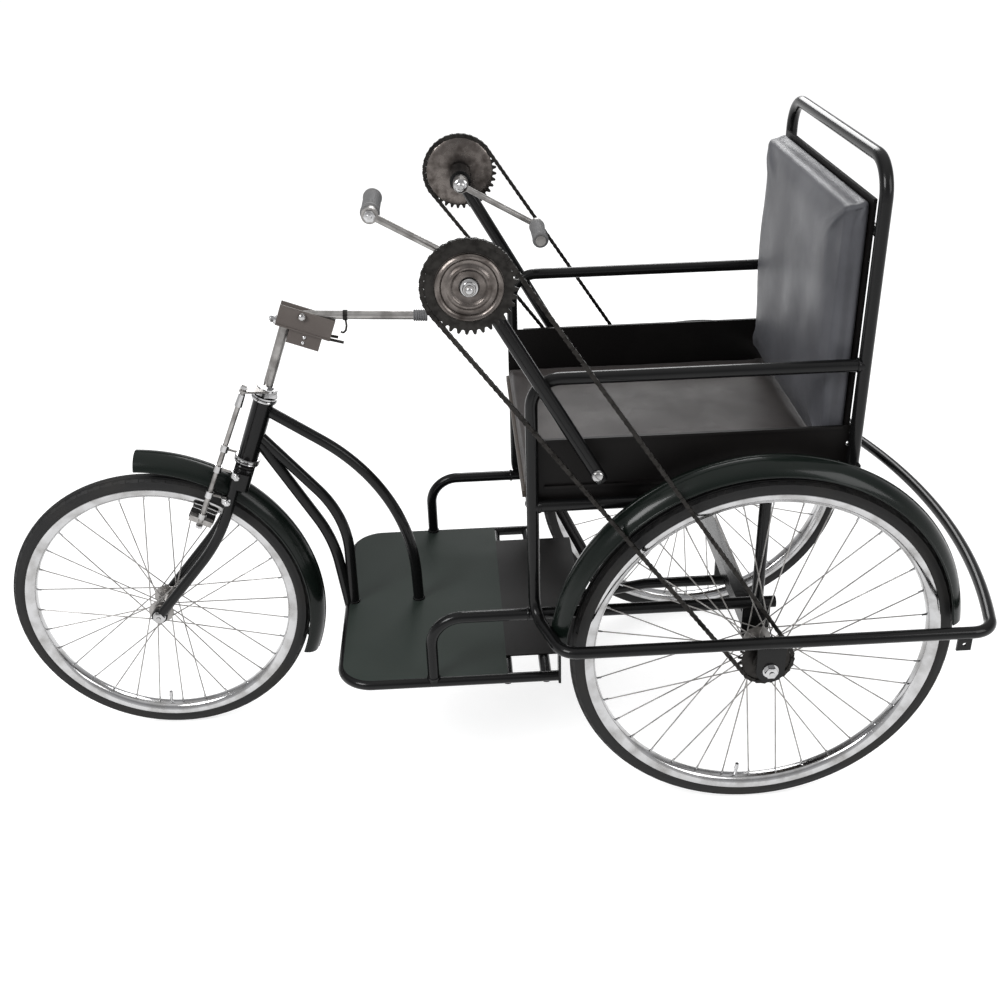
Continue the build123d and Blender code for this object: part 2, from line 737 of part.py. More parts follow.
# Cranks. Columns: name, side, arm angle from the rear (+X) up towards +Z
cranks = (("left", -1, left_crank_deg), ("right", 1, right_crank_deg))
for name, side, arm_deg in cranks:
    with BuildPart() as sprocket:
        with BuildSketch(cross_plane(rear_x, side * chain_y - tooth_thick / 2, rear_wheel_radius)):
            with BuildLine():
                Polyline(*tooth_points(sprocket_teeth, chain_driven_radius), close=True)
            make_face()
        extrude(amount=tooth_thick)
        round_bar(rear_x, rear_wheel_radius, side * sprocket_inner_y, side * sprocket_outer_y,
                  hub_flange_radius)
        cut_bar(rear_x, rear_wheel_radius, side * (sprocket_inner_y - tube), side * (sprocket_outer_y + tube),
                axle_radius + running_gap)
    save(sprocket, f"{name}_sprocket")

    with BuildPart() as chainwheel:
        with BuildSketch(cross_plane(crank_x, side * chain_y - tooth_thick / 2, crank_height)):
            with BuildLine():
                Polyline(*tooth_points(chainwheel_teeth, chain_drive_radius), close=True)
            make_face()
            Circle(disc_radius - disc_dish, mode=Mode.SUBTRACT)
        extrude(amount=tooth_thick)
        with BuildSketch(Plane(origin=(crank_x, side * chain_y, crank_height), x_dir=(0, side, 0),
                               z_dir=(side, 0, 0))):
            with BuildLine():
                face = tooth_thick / 2
                Polyline((face, disc_radius), (face + disc_dish / 2, disc_radius - disc_dish / 2),
                         (face + disc_dish, disc_boss_radius + disc_dish), (face + disc_dish, spindle_radius),
                         (-face, spindle_radius), (-face, disc_boss_radius),
                         (face / 2, disc_boss_radius + disc_dish), (-face, disc_radius), close=True)
            make_face()
        revolve(axis=Axis((crank_x, 0, crank_height), (0, 1, 0)))
    save(chainwheel, f"{name}_chainwheel")

    turn = radians(arm_deg)
    eye_x = crank_x + crank_length * cos(turn)
    eye_z = crank_height + crank_length * sin(turn)
    arm_inner = crank_arm_y - crank_arm_tube / 2 - side_gap
    arm_outer = crank_arm_y + crank_arm_tube / 2 + side_gap
    with BuildPart() as crank:
        round_bar(crank_x, crank_height, side * arm_inner,
                  side * (chain_y + tooth_thick / 2 + disc_dish + nut_height), spindle_radius)
        round_bar(crank_x, crank_height, side * arm_inner, side * (shell_inner_y - side_gap),
                  crank_boss_radius)
        round_bar(crank_x, crank_height, side * (shell_outer_y + side_gap),
                  side * (chain_y - tooth_thick / 2), crank_boss_radius)
        round_bar(eye_x, eye_z, side * arm_inner, side * arm_outer, crank_eye_radius)
        straight_tube((crank_x, side * crank_arm_y, crank_height), (eye_x, side * crank_arm_y, eye_z),
                      crank_arm_tube)
        grip_outer_y = arm_inner - grip_gap
        grip_inner_y = grip_outer_y - grip_length
        round_bar(eye_x, eye_z, side * arm_inner, side * grip_inner_y, grip_pin_radius)
        round_bar(eye_x, eye_z, side * (grip_inner_y - side_gap),
                  side * (grip_inner_y - side_gap - bolt_head_height), nut_radius)
        round_bar(eye_x, eye_z, side * grip_inner_y, side * (grip_inner_y - side_gap - bolt_head_height),
                  grip_pin_radius)
    save(crank, f"{name}_crank")

    with BuildPart() as grip:
        round_bar(eye_x, eye_z, side * grip_inner_y, side * grip_outer_y, grip_radius,
                  grip_pin_radius + running_gap)
    save(grip, f"{name}_grip")

# Fork with its steerer and blades
front_hub = Vector(front_x, 0, front_wheel_radius)
crown_top = -cup_height - race_gap
crown_low = crown_top - crown_height
steerer_top = head_length + cup_height + race_gap + lock_nut_height
with BuildPart() as fork:
    with BuildSketch(steer_plane(crown_low)):
        Circle(steerer_radius)
    extrude(amount=steerer_top - crown_low)
    with BuildSketch(steer_plane(steerer_top - lock_nut_height)):
        Circle(lock_nut_radius)
    extrude(amount=lock_nut_height)
    with BuildSketch(steer_plane(crown_low)):
        RectangleRounded(2 * crown_half_width, crown_depth, crown_corner)
    extrude(amount=crown_height)
    for side in (-1, 1):
        top = steer_point((crown_top + crown_low) / 2, blade_forward, side * blade_y)
        knee = Vector(top.X - blade_knee_forward, side * blade_y, top.Z - blade_knee_drop)
        hub_end = front_hub + Vector(0, side * blade_y, 0)
        toe = hub_end + (knee - hub_end).normalized() * (dropout_radius - dropout_thick)
        bent_tube((top, knee, toe), blade_bend, blade_tube)
        round_bar(front_x, front_wheel_radius, side * blade_y - dropout_thick / 2,
                  side * blade_y + dropout_thick / 2, dropout_radius)
    cut_bar(front_x, front_wheel_radius, -2 * blade_y, 2 * blade_y, front_axle_radius)
save(fork, "fork")

with BuildPart() as front_axle:
    plate_face = blade_y + dropout_thick / 2
    round_bar(front_x, front_wheel_radius, -plate_face - nut_height, plate_face + nut_height,
              front_axle_radius)
    for side in (-1, 1):
        round_bar(front_x, front_wheel_radius, side * plate_face, side * (plate_face + nut_height), nut_radius)
        round_bar(front_x, front_wheel_radius, side * (front_hub_half_length + side_gap),
                  side * (blade_y - dropout_thick / 2), collar_radius)
    cope(fork)
save(front_axle, "front_axle")

with BuildPart() as stem:
    with BuildSketch(steer_plane(steerer_top)):
        Circle(stem_radius)
    extrude(amount=stem_top - steerer_top)
save(stem, "stem")

with BuildPart() as front_fender:
    fender_arc(front_hub + Vector(-front_fender_ahead, 0, front_fender_raise), front_fender_radius,
               front_fender_crown, front_fender_from_deg, front_fender_to_deg)
    with BuildSketch(steer_plane(crown_low)):
        Circle(steerer_radius)
    extrude(until=Until.PREVIOUS)
save(front_fender, "front_fender")

# Tiller bracket: a channel square to the stem, and the tiller bar on its bolt
bolt = Vector(rear_x - tiller_bolt_ahead, 0, tiller_bolt_height)
bracket_plane = steer_plane(stem_top)
channel_half = tiller_tube / 2 + bracket_gap
with BuildPart() as tiller_bracket:
    with BuildSketch(bracket_plane):
        with Locations((0, bracket_front - bracket_length / 2)):
            Rectangle(2 * (channel_half + bracket_thick), bracket_length)
    extrude(amount=bracket_thick)
    for side in (-1, 1):
        with BuildSketch(bracket_plane):
            with Locations((side * (channel_half + bracket_thick / 2), bracket_front - bracket_length / 2)):
                Rectangle(bracket_thick, bracket_length)
        extrude(amount=bracket_height)
        with BuildSketch(steer_plane(stem_top - clamp_height)):
            with Locations((side * channel_half, -clamp_length / 2 - stem_radius)):
                Rectangle(bracket_thick, clamp_length)
        extrude(amount=clamp_height)
    round_bar(bolt.X, bolt.Z, -channel_half - bracket_thick - bolt_head_height,
              channel_half + bracket_thick + bolt_head_height, bolt_radius)
    for side in (-1, 1):
        round_bar(bolt.X, bolt.Z, side * (channel_half + bracket_thick),
                  side * (channel_half + bracket_thick + bolt_head_height), bolt_head_radius)
save(tiller_bracket, "tiller_bracket")

tiller_drop = radians(tiller_drop_deg)
tiller_way = Vector(cos(tiller_drop), 0, -sin(tiller_drop))
tiller_front = bolt - tiller_way * (tiller_front_ahead - tiller_bolt_ahead)
tiller_end = bolt + tiller_way * (tiller_bolt_ahead - tiller_rear_ahead)
with BuildPart() as tiller_bar:
    straight_tube(tiller_front, tiller_end, tiller_tube)
    cut_bar(bolt.X, bolt.Z, -tube, tube, bolt_radius + running_gap)
save(tiller_bar, "tiller_bar")

with BuildPart() as tiller_grip:
    with BuildSketch(Plane(origin=tiller_end - tiller_way * tiller_grip_length, z_dir=tiller_way)):
        Circle(tiller_grip_radius)
        Circle(tiller_tube / 2, mode=Mode.SUBTRACT)
    extrude(amount=tiller_grip_length)
save(tiller_grip, "tiller_grip")

# Rod brake at the front rim: an arm on the lock nut, the pull rod on the left, and a stirrup over the fender
brake_top = steerer_top + brake_arm_thick + brake_rod_top
brake_lean = (brake_forward - brake_forward_top) / (brake_top - brake_leg_low)


def brake_point(along, side):
    return steer_point(along, brake_forward - brake_lean * (along - brake_leg_low), side * brake_leg_y)


with BuildPart() as front_brake:
    with BuildSketch(steer_plane(steerer_top)):
        Circle(lock_nut_radius)
        with Locations((-brake_leg_y, brake_forward_top)):
            Circle(brake_eye_radius)
        make_hull()
    extrude(amount=brake_arm_thick)
    straight_tube(brake_point(brake_leg_low, -1), brake_point(brake_top, -1), 2 * brake_rod_radius)
    straight_tube(brake_point(brake_leg_low, 1), brake_point(brake_bridge, 1), 2 * brake_rod_radius)
    straight_tube(brake_point(brake_bridge, -1), brake_point(brake_bridge, 1) + Vector(0, brake_rod_radius, 0),
                  2 * brake_rod_radius)
    for side in (-1, 1):
        for guide in brake_guides:
            straight_tube(brake_point(guide, side), steer_point(guide, 0, side * brake_leg_y),
                          brake_rod_radius)
        shoe_spot = steer_point(brake_leg_low, brake_forward)
        with BuildSketch(Plane(origin=shoe_spot + Vector(0, side * shoe_inner_y, 0),
                               x_dir=shoe_spot - front_hub, z_dir=(0, side, 0))):
            Rectangle(shoe_height, shoe_length)
        extrude(amount=brake_leg_y - shoe_inner_y)
    cope(fork, stem)
save(front_brake, "front_brake")
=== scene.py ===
# %% [markdown]
# A hand-cranked tricycle. The frame brings every tube, wheel, crank and bracket at its real size,
# each on the body that it moves with. This lesson adds what the frame leaves plain: soft pads,
# roller chains, dished chainwheels, ribbed tyres, rolled rims, grips, bolts, and a finish for
# every surface.

# %% Load the frame
import json
from math import acos, atan2, cos, pi, radians, sin

import bmesh
import bpy
from mathutils import Matrix, Vector


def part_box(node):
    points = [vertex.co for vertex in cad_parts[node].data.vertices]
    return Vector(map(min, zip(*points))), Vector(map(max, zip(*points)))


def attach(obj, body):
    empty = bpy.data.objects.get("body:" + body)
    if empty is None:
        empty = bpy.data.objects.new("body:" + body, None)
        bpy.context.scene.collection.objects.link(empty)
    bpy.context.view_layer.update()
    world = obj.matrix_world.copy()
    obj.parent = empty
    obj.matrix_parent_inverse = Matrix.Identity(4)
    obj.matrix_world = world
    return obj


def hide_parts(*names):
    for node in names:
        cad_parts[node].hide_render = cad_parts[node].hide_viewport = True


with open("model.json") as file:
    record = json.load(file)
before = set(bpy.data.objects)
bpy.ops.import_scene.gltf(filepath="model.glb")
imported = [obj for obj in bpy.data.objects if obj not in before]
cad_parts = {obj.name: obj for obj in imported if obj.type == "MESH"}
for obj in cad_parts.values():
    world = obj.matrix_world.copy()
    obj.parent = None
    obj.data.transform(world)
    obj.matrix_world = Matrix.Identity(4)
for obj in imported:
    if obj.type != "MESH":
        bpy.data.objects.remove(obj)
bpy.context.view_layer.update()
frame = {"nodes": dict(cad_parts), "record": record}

nodes = frame["nodes"]
mm = 0.001

# %% [markdown]
# The photograph looks down at the tricycle from its left side, a little ahead of the seat. Its
# camera was found from the outlines of the wheels and the lines of the frame. A picture measure of
# the lens is the focal length in pixels, which the sensor's width turns into millimetres.

# %% Place the camera
picture_width = 1000
focal_pixels = 1188.8
camera_spot = Vector((-0.0320, -2.1028, 1.6672))
camera_turn, camera_dip, camera_roll = radians(1.9635), radians(28.804), radians(-1.8266)
lens = bpy.data.cameras.new("photo_camera")
lens.sensor_width = 36
lens.lens = focal_pixels / picture_width * lens.sensor_width
camera = bpy.data.objects.new("photo_camera", lens)
camera.matrix_world = (
    Matrix.Translation(camera_spot)
    @ Matrix.Rotation(-camera_turn, 4, "Z")
    @ Matrix.Rotation(pi / 2 - camera_dip, 4, "X")
    @ Matrix.Rotation(camera_roll, 4, "Z")
)
bpy.context.scene.collection.objects.link(camera)
bpy.context.scene.camera = camera
bpy.context.scene.view_settings.view_transform = "Standard"
print("camera: lens", round(lens.lens, 2), "mm")

# %% [markdown]
# A finish is a small net of shader nodes. Two classes keep it readable. A Signal is one output of a
# node, and Python's operators on it add Math nodes, so that 0.2 + wear * 0.3 is a real expression.
# A Board adds every other kind of node through one method, which sets the node's own choices first
# and then its inputs.


# %% Signals and boards
class Signal:
    """One output of a shader node."""

    def __init__(self, board, socket):
        self.board = board
        self.socket = socket

    def joined(self, operation, first, second):
        return self.board.node("ShaderNodeMath", {"operation": operation}, {0: first, 1: second})

    def __add__(self, other):
        return self.joined("ADD", self, other)

    def __rsub__(self, other):
        return self.joined("SUBTRACT", other, self)

    def __mul__(self, other):
        return self.joined("MULTIPLY", self, other)

    __radd__ = __add__
    __rmul__ = __mul__

    def between(self, low, high):
        """0 where the signal is at low, 1 where it is at high, and level beyond them."""
        inputs = {"Value": self, "From Min": low, "From Max": high}
        return self.board.node("ShaderNodeMapRange", {"clamp": True}, inputs)


class Board:
    """A node tree that grows by one method."""

    def __init__(self, tree):
        self.tree = tree

    def node(self, kind, settings=(), inputs=(), output=0):
        made = self.tree.nodes.new(kind)
        for name, value in dict(settings).items():
            if name == "stops":
                for place, colour in value:
                    made.color_ramp.elements.new(place).color = (*colour, 1)
                made.color_ramp.elements.remove(made.color_ramp.elements[0])
                made.color_ramp.elements.remove(made.color_ramp.elements[-1])
            else:
                setattr(made, name, value)
        for name, value in dict(inputs).items():
            self.feed(made.inputs[name], value)
        return Signal(self, made.outputs[output])

    def feed(self, socket, value):
        if isinstance(value, Signal):
            self.tree.links.new(value.socket, socket)
        elif isinstance(value, tuple) and len(value) == 3 and socket.type == "RGBA":
            socket.default_value = (*value, 1)
        else:
            socket.default_value = value

    def blend(self, low, high, share):
        """A colour between two colours."""
        return self.node("ShaderNodeMix", {"data_type": "RGBA"}, {0: share, 6: low, 7: high}, 2)


print("signals ready")

# %% [markdown]
# A soft studio shows dark enamel best: a bright key from the front left, as in the photograph, and
# a sky that darkens overhead, so that chrome has something darker to mirror beside the white floor.
# The camera sees the sky as plain white. The floor is pale by its own colour, and rays that come
# from the camera or from a mirror see it whiter still, while it keeps the shadow.

# %% Sky, floor and lamps
scene = bpy.context.scene
studio = bpy.data.worlds.new("studio")
studio.use_nodes = True
scene.world = studio
sky = Board(studio.node_tree)
way = sky.node("ShaderNodeTexCoord", output="Generated")
upward = sky.node("ShaderNodeSeparateXYZ", {}, {0: way}, 2)
sky_stops = [(0.46, (0.80, 0.80, 0.80)), (0.54, (0.70, 0.70, 0.71)), (0.72, (0.34, 0.34, 0.35)),
             (1.0, (0.20, 0.20, 0.21))]
shade = sky.node("ShaderNodeValToRGB", {"stops": sky_stops}, {0: upward * 0.5 + 0.5})
behind = sky.node("ShaderNodeLightPath", output="Is Camera Ray")
sky.feed(studio.node_tree.nodes["Background"].inputs["Color"], sky.blend(shade, (1, 1, 1), behind))


def lamp(name, spot, target, width, watts):
    light = bpy.data.lights.new(name, "AREA")
    light.size = width
    light.energy = watts
    stand = bpy.data.objects.new(name, light)
    aim = (Vector(target) - Vector(spot)).to_track_quat("-Z", "Y")
    stand.matrix_world = Matrix.Translation(spot) @ aim.to_matrix().to_4x4()
    scene.collection.objects.link(stand)


lamp("key_lamp", (-2.6, -2.4, 3.2), (0, 0, 0.5), 1.6, 120)
lamp("fill_lamp", (2.8, -2.2, 2.4), (0.3, 0, 0.5), 1.8, 45)
lamp("back_lamp", (0.6, 3.2, 2.8), (0, 0, 0.7), 1.6, 60)

floor_reach = 40
floor_mesh = bpy.data.meshes.new("studio_floor")
shape = bmesh.new()
bmesh.ops.create_grid(shape, x_segments=1, y_segments=1, size=floor_reach)
shape.to_mesh(floor_mesh)
shape.free()
floor = bpy.data.objects.new("studio_floor", floor_mesh)
scene.collection.objects.link(floor)
floor_finish = bpy.data.materials.new("pale_floor")
floor_finish.use_nodes = True
ground = Board(floor_finish.node_tree)
seen = ground.node("ShaderNodeLightPath", output="Is Camera Ray")
mirrored = ground.node("ShaderNodeLightPath", output="Is Glossy Ray")
through = ground.node("ShaderNodeLightPath", output="Is Transmission Ray")
watched = (seen + mirrored + through).between(0, 1)
base = floor_finish.node_tree.nodes["Principled BSDF"]
base.inputs["Base Color"].default_value = (0.50, 0.50, 0.50, 1)
ground.feed(base.inputs["Emission Color"], ground.blend((0, 0, 0), (0.70, 0.70, 0.70), watched))
base.inputs["Emission Strength"].default_value = 1
base.inputs["Roughness"].default_value = 0.9
base.inputs["Specular IOR Level"].default_value = 0
floor_mesh.materials.append(floor_finish)
print("studio ready: 3 lamps, floor", 2 * floor_reach, "m wide")

# %% [markdown]
# Every finish starts from the same shader. Patterns are read from Object coordinates, which on
# this model are real metres, so a scale of 100 gives features about a centimetre across.


# %% The finish class
class Finish(Board):
    """One material: its shader, and the signals that vary it."""

    def __init__(self, name, metallic=0.0, coat=0.0, sheen=0.0, specular=0.5):
        self.material = bpy.data.materials.new(name)
        self.material.use_nodes = True
        super().__init__(self.material.node_tree)
        self.shader = self.tree.nodes["Principled BSDF"]
        self.shader.inputs["Metallic"].default_value = metallic
        self.shader.inputs["Coat Weight"].default_value = coat
        self.shader.inputs["Coat Roughness"].default_value = 0.08
        self.shader.inputs["Specular IOR Level"].default_value = specular
        self.shader.inputs["Sheen Weight"].default_value = sheen
        self.place = self.node("ShaderNodeTexCoord", output="Object")

    def noise(self, scale, detail=4.0, stretch=(1, 1, 1)):
        place = self.place
        if stretch != (1, 1, 1):
            place = self.node("ShaderNodeMapping", {}, {"Vector": place, "Scale": stretch})
        return self.node("ShaderNodeTexNoise", {}, {"Vector": place, "Scale": scale, "Detail": detail})

    def cells(self, scale, feature="F1"):
        return self.node("ShaderNodeTexVoronoi", {"feature": feature}, {"Vector": self.place, "Scale": scale})

    def surface(self, colour, roughness, height, relief):
        """Colour, roughness and a bump whose relief is in metres."""
        self.feed(self.shader.inputs["Base Color"], colour)
        self.feed(self.shader.inputs["Roughness"], roughness)
        bump = self.node("ShaderNodeBump", {}, {"Height": height, "Distance": relief, "Strength": 0.6})
        self.feed(self.shader.inputs["Normal"], bump)
        return self.material


print("finish class ready")

# %% [markdown]
# Brushed and stoved enamel is black or dark green here, wet-looking, with road dust that
# lies in soft patches and small dull specks. A clear coat gives the sharp highlights along the
# tubes. Dust lifts both the colour and the roughness through the same mask.


# %% Enamels
def enamel(name, colour, dusted, dust_share, gloss, roughness=0.24):
    paint = Finish(name, coat=gloss, specular=0.14)
    dust = paint.noise(7).between(0.46, 0.78)
    speck = paint.noise(420, 2).between(0.64, 0.76)
    film = (dust * dust_share + speck * (dust_share / 2)).between(0, 1)
    orange_peel = paint.noise(300, 2)
    return paint.surface(paint.blend(colour, dusted, film), film * 0.35 + roughness, orange_peel, 0.00006)


finishes = {
    "frame_paint": enamel("black_enamel", (0.0036, 0.0037, 0.0039), (0.045, 0.043, 0.040), 0.07, 0.16),
    "fender_paint": enamel("green_black_enamel", (0.0038, 0.0064, 0.0050), (0.036, 0.040, 0.034), 0.08, 0.15),
    "floor_paint": enamel("grey_green_enamel", (0.019, 0.026, 0.022), (0.044, 0.050, 0.045), 0.30, 0.0, 0.55),
    "panel_paint": enamel("panel_black", (0.0034, 0.0029, 0.0028), (0.034, 0.030, 0.027), 0.10, 0.0, 0.50),
    "bracket_steel": enamel("bracket_paint", (0.104, 0.090, 0.083), (0.165, 0.148, 0.136), 0.50, 0.0, 0.45),
}
print("enamels:", len(finishes))

# %% [markdown]
# Plated parts are bright with smudges and tiny pits. Zinc steel is duller and finely streaked.
# Pressed steel is brown with tarnish. Chain steel is dark with oil, which shines where it is thick.


# %% Bare metals
def plated():
    metal = Finish("bright_plate", metallic=1.0)
    smudge = metal.noise(26).between(0.42, 0.70)
    pit = 1 - metal.cells(340).between(0.04, 0.16)
    tone = metal.blend((0.50, 0.50, 0.505), (0.33, 0.325, 0.32), smudge)
    colour = metal.blend(tone, (0.17, 0.13, 0.10), pit * 0.45)
    return metal.surface(colour, 0.09 + smudge * 0.17 + pit * 0.3, 1 - pit, 0.0001)


def dull_steel():
    metal = Finish("zinc_steel", metallic=1.0)
    patch = metal.noise(40).between(0.40, 0.68)
    streak = metal.noise(600, 3, (1, 1, 0.1))
    colour = metal.blend((0.33, 0.32, 0.31), (0.18, 0.172, 0.165), patch)
    return metal.surface(colour, 0.26 + streak * 0.16 + patch * 0.1, streak, 0.00005)


def pressed_steel():
    metal = Finish("pressed_steel", metallic=1.0)
    tarnish = metal.noise(55).between(0.40, 0.70)
    turned = metal.noise(260, 3)
    colour = metal.blend((0.155, 0.138, 0.128), (0.060, 0.051, 0.046), tarnish)
    return metal.surface(colour, 0.22 + tarnish * 0.14 + turned * 0.06, turned, 0.00005)


def oiled_steel():
    metal = Finish("oiled_steel", metallic=0.85)
    film = metal.noise(90).between(0.40, 0.66)
    grit = metal.noise(700, 3)
    colour = metal.blend((0.030, 0.028, 0.026), (0.012, 0.011, 0.010), film)
    return metal.surface(colour, 0.46 - film * 0.20 + grit * 0.1, grit, 0.00012)


finishes["chrome"] = plated()
finishes["steel"] = dull_steel()
finishes["dish_steel"] = pressed_steel()
finishes["oiled_steel"] = oiled_steel()
print("metals: chrome, steel, dish_steel, oiled_steel")

# %% [markdown]
# Rubber scatters light evenly. The tyres are black, with patches of grey dust, and the hand
# grips are a paler grey. The seat and the back are covered with coated cloth: a fine leather grain
# of small cells, brown grey on the seat and blue grey on the back, rubbed smoother in patches.


# %% Rubber, coated cloth and wood
def rubber(name, colour, dusted):
    skin = Finish(name, specular=0.3)
    dust = skin.noise(12).between(0.42, 0.70)
    grain = skin.noise(900, 3)
    return skin.surface(skin.blend(colour, dusted, dust * 0.5), 0.58 + dust * 0.25, grain, 0.0002)


def coated_cloth(name, colour, rubbed, roughness, specular):
    cloth = Finish(name, sheen=0.03, specular=specular)
    grain = cloth.cells(620, "DISTANCE_TO_EDGE").between(0.0, 0.35)
    rub = cloth.noise(9, 5).between(0.40, 0.68)
    mottle = cloth.noise(70, 3)
    share = (rub * 0.6 + mottle * 0.35).between(0, 1)
    return cloth.surface(cloth.blend(colour, rubbed, share), roughness - rub * 0.1 + mottle * 0.08,
                         grain, 0.00018)


def stained_wood():
    board = Finish("stained_plywood")
    grain = board.noise(30, 6, (1, 14, 14))
    colour = board.blend((0.020, 0.013, 0.009), (0.046, 0.030, 0.019), grain.between(0.35, 0.65))
    return board.surface(colour, 0.55 + grain * 0.1, grain, 0.0003)


finishes["tyre_rubber"] = rubber("tyre_rubber", (0.0075, 0.0075, 0.0078), (0.040, 0.038, 0.035))
finishes["grip_rubber"] = rubber("grip_rubber", (0.115, 0.115, 0.117), (0.20, 0.195, 0.19))
finishes["seat_vinyl"] = coated_cloth("seat_cloth", (0.033, 0.029, 0.028), (0.050, 0.044, 0.042), 0.44, 0.14)
finishes["back_vinyl"] = coated_cloth("back_cloth", (0.052, 0.053, 0.060), (0.086, 0.088, 0.098), 0.42, 0.30)
finishes["board_wood"] = stained_wood()
print("finishes:", len(finishes))

# %% [markdown]
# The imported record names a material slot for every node, so one loop dresses the whole frame.

# %% Dress the frame
for part in frame["record"]["subparts"]:
    dressed = nodes[part["node"]]
    dressed.data.materials.clear()
    dressed.data.materials.append(finishes[part["material_slot"]])

# %% [markdown]
# New pieces all end the same way: a bmesh becomes an object at the origin, gets the finish that
# its material slot names and the body that it rides on, and may take the place of nodes of the
# frame, which it hides. Faces that meet at a low angle are shaded smooth.


# %% Finishing a piece
def piece(name, made, slot, body, stands_for=(), crease=40):
    bmesh.ops.recalc_face_normals(made, faces=made.faces)
    mesh = bpy.data.meshes.new(name)
    for face in made.faces:
        face.smooth = True
    for edge in made.edges:
        if len(edge.link_faces) == 2 and edge.calc_face_angle(0) > radians(crease):
            edge.smooth = False
    made.to_mesh(mesh)
    made.free()
    mesh.materials.append(finishes[slot])
    thing = bpy.data.objects.new(name, mesh)
    scene.collection.objects.link(thing)
    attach(thing, body)
    if stands_for:
        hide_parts(*stands_for)
    return thing


def middle(node):
    low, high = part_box(node)
    return (low + high) / 2


def across(spot, side=1):
    """A placing whose Z points out of the tricycle, along Y on the given side."""
    return Matrix.Translation(spot) @ Matrix.Rotation(-side * pi / 2, 4, "X")


def spun(made, profile, placing, steps, closed=False):
    """Turns a profile of (radius, height) pairs about the placing's Z."""
    corners = [made.verts.new((radius, 0, height)) for radius, height in profile]
    lines = [made.edges.new(pair) for pair in zip(corners, corners[1:])]
    if closed:
        lines.append(made.edges.new((corners[-1], corners[0])))
    before = set(made.verts) - set(corners)
    bmesh.ops.spin(made, geom=corners + lines, cent=(0, 0, 0), axis=(0, 0, 1), angle=2 * pi, steps=steps,
                   use_merge=True)
    turned = [corner for corner in made.verts if corner not in before]
    poles = [corner for corner in turned if corner.co.xy.length < 1e-7]
    bmesh.ops.remove_doubles(made, verts=poles, dist=1e-7)
    turned = [corner for corner in made.verts if corner not in before]
    bmesh.ops.transform(made, matrix=placing, verts=turned)


print("piece helpers ready")

# %% [markdown]
# A tyre is a ring of rubber with three ribs on its crown and plain walls. Its section is drawn once,
# as a radius and a distance from the middle plane, and spun about the axle. Every second stretch of
# the shoulder is then raised a little, which gives the small blocks that a road tyre has there.

# %% Tyres
wheels = {"left": "left_wheel", "right": "right_wheel", "front": "front_wheel"}
tyre_half = 19 * mm
rib_depth = 1.3 * mm
tyre_steps = 144
bead_depth, bead_half = 33.5 * mm, 9.5 * mm
shoulder_from, shoulder_to = radians(38), radians(54)
block_inset, block_rise = 1.2 * mm, 0.9 * mm
# Columns: degrees from the crown, depth there as a share of rib_depth.
tread_shares = ((0, 0), (6, 0), (9, 1), (13, 1), (16, 0), (26, 0), (29, 1), (33, 1), (36, 0), (56, 0),
                (60, 0.9), (80, 0.9), (105, 0.9), (122, 1.6), (133, 4.5))


def tyre_section(outer):
    core = outer - tyre_half
    section = []
    for turn, depth in tread_shares:
        reach = tyre_half - depth * rib_depth
        section.append((core + reach * cos(radians(turn)), reach * sin(radians(turn))))
    section.append((outer - bead_depth, bead_half))
    return [(radius, -height) for radius, height in reversed(section[1:])] + section


for wheel, body in wheels.items():
    centre = middle(f"{wheel}_tyre")
    low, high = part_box(f"{wheel}_tyre")
    outer = (high.z - low.z) / 2
    made = bmesh.new()
    spun(made, tyre_section(outer), Matrix.Identity(4), tyre_steps, closed=True)
    core = outer - tyre_half
    blocks = []
    for face in made.faces:
        spot = face.calc_center_median()
        lean = atan2(abs(spot.z), spot.xy.length - core)
        turn = int((atan2(spot.y, spot.x) / (2 * pi) + 1) * tyre_steps) % 2
        if shoulder_from < lean < shoulder_to and turn == (spot.z > 0):
            blocks.append(face)
    bmesh.ops.inset_individual(made, faces=blocks, thickness=block_inset, depth=block_rise)
    bmesh.ops.transform(made, matrix=across(centre), verts=made.verts)
    piece(f"{wheel}_tyre_ribbed", made, "tyre_rubber", body, [f"{wheel}_tyre"])
    print(wheel, "tyre:", len(blocks), "shoulder blocks")

# %% [markdown]
# The rims are rolled steel, chromed: a flat well in the middle, two sloping walls and an edge that
# curls over beside the tyre. Each spoke ends in a nipple at the rim, and a valve stands between two
# of them.

# %% Rims, nipples and valves
spoke_counts = {"left": 36, "right": 36, "front": 32}
rim_steps = 128
rim_sheet, rim_depth = 1.3 * mm, 13.6 * mm
skin_share = 0.9
# Columns: height over the tyre's seat, distance out past the rim's side, in millimetres.
rim_section = ((4, -2.0), (6.2, -1.2), (6.6, 0), (5.0, 0.7), (1, 0), (-4, -1.6), (-9, -4), (-12.4, -7.5),
               (-13.6, -11))
sunk = 1 * mm
nipple_length, nipple_radius, nipple_tip_radius = 9 * mm, 2.3 * mm, 1.7 * mm
valve_length, valve_radius = 16 * mm, 3.2 * mm
cap_end, cap_radius, cap_tip_radius = 27 * mm, 4.2 * mm, 3.4 * mm


def rod(made, start, end, radius, sides=10, top=None):
    """A straight rod, or a taper when top is given."""
    run = Vector(end) - Vector(start)
    aim = run.to_track_quat("Z", "X").to_matrix().to_4x4()
    placing = Matrix.Translation((Vector(start) + Vector(end)) / 2) @ aim
    bmesh.ops.create_cone(made, cap_ends=True, segments=sides, radius1=radius,
                          radius2=radius if top is None else top, depth=run.length, matrix=placing)


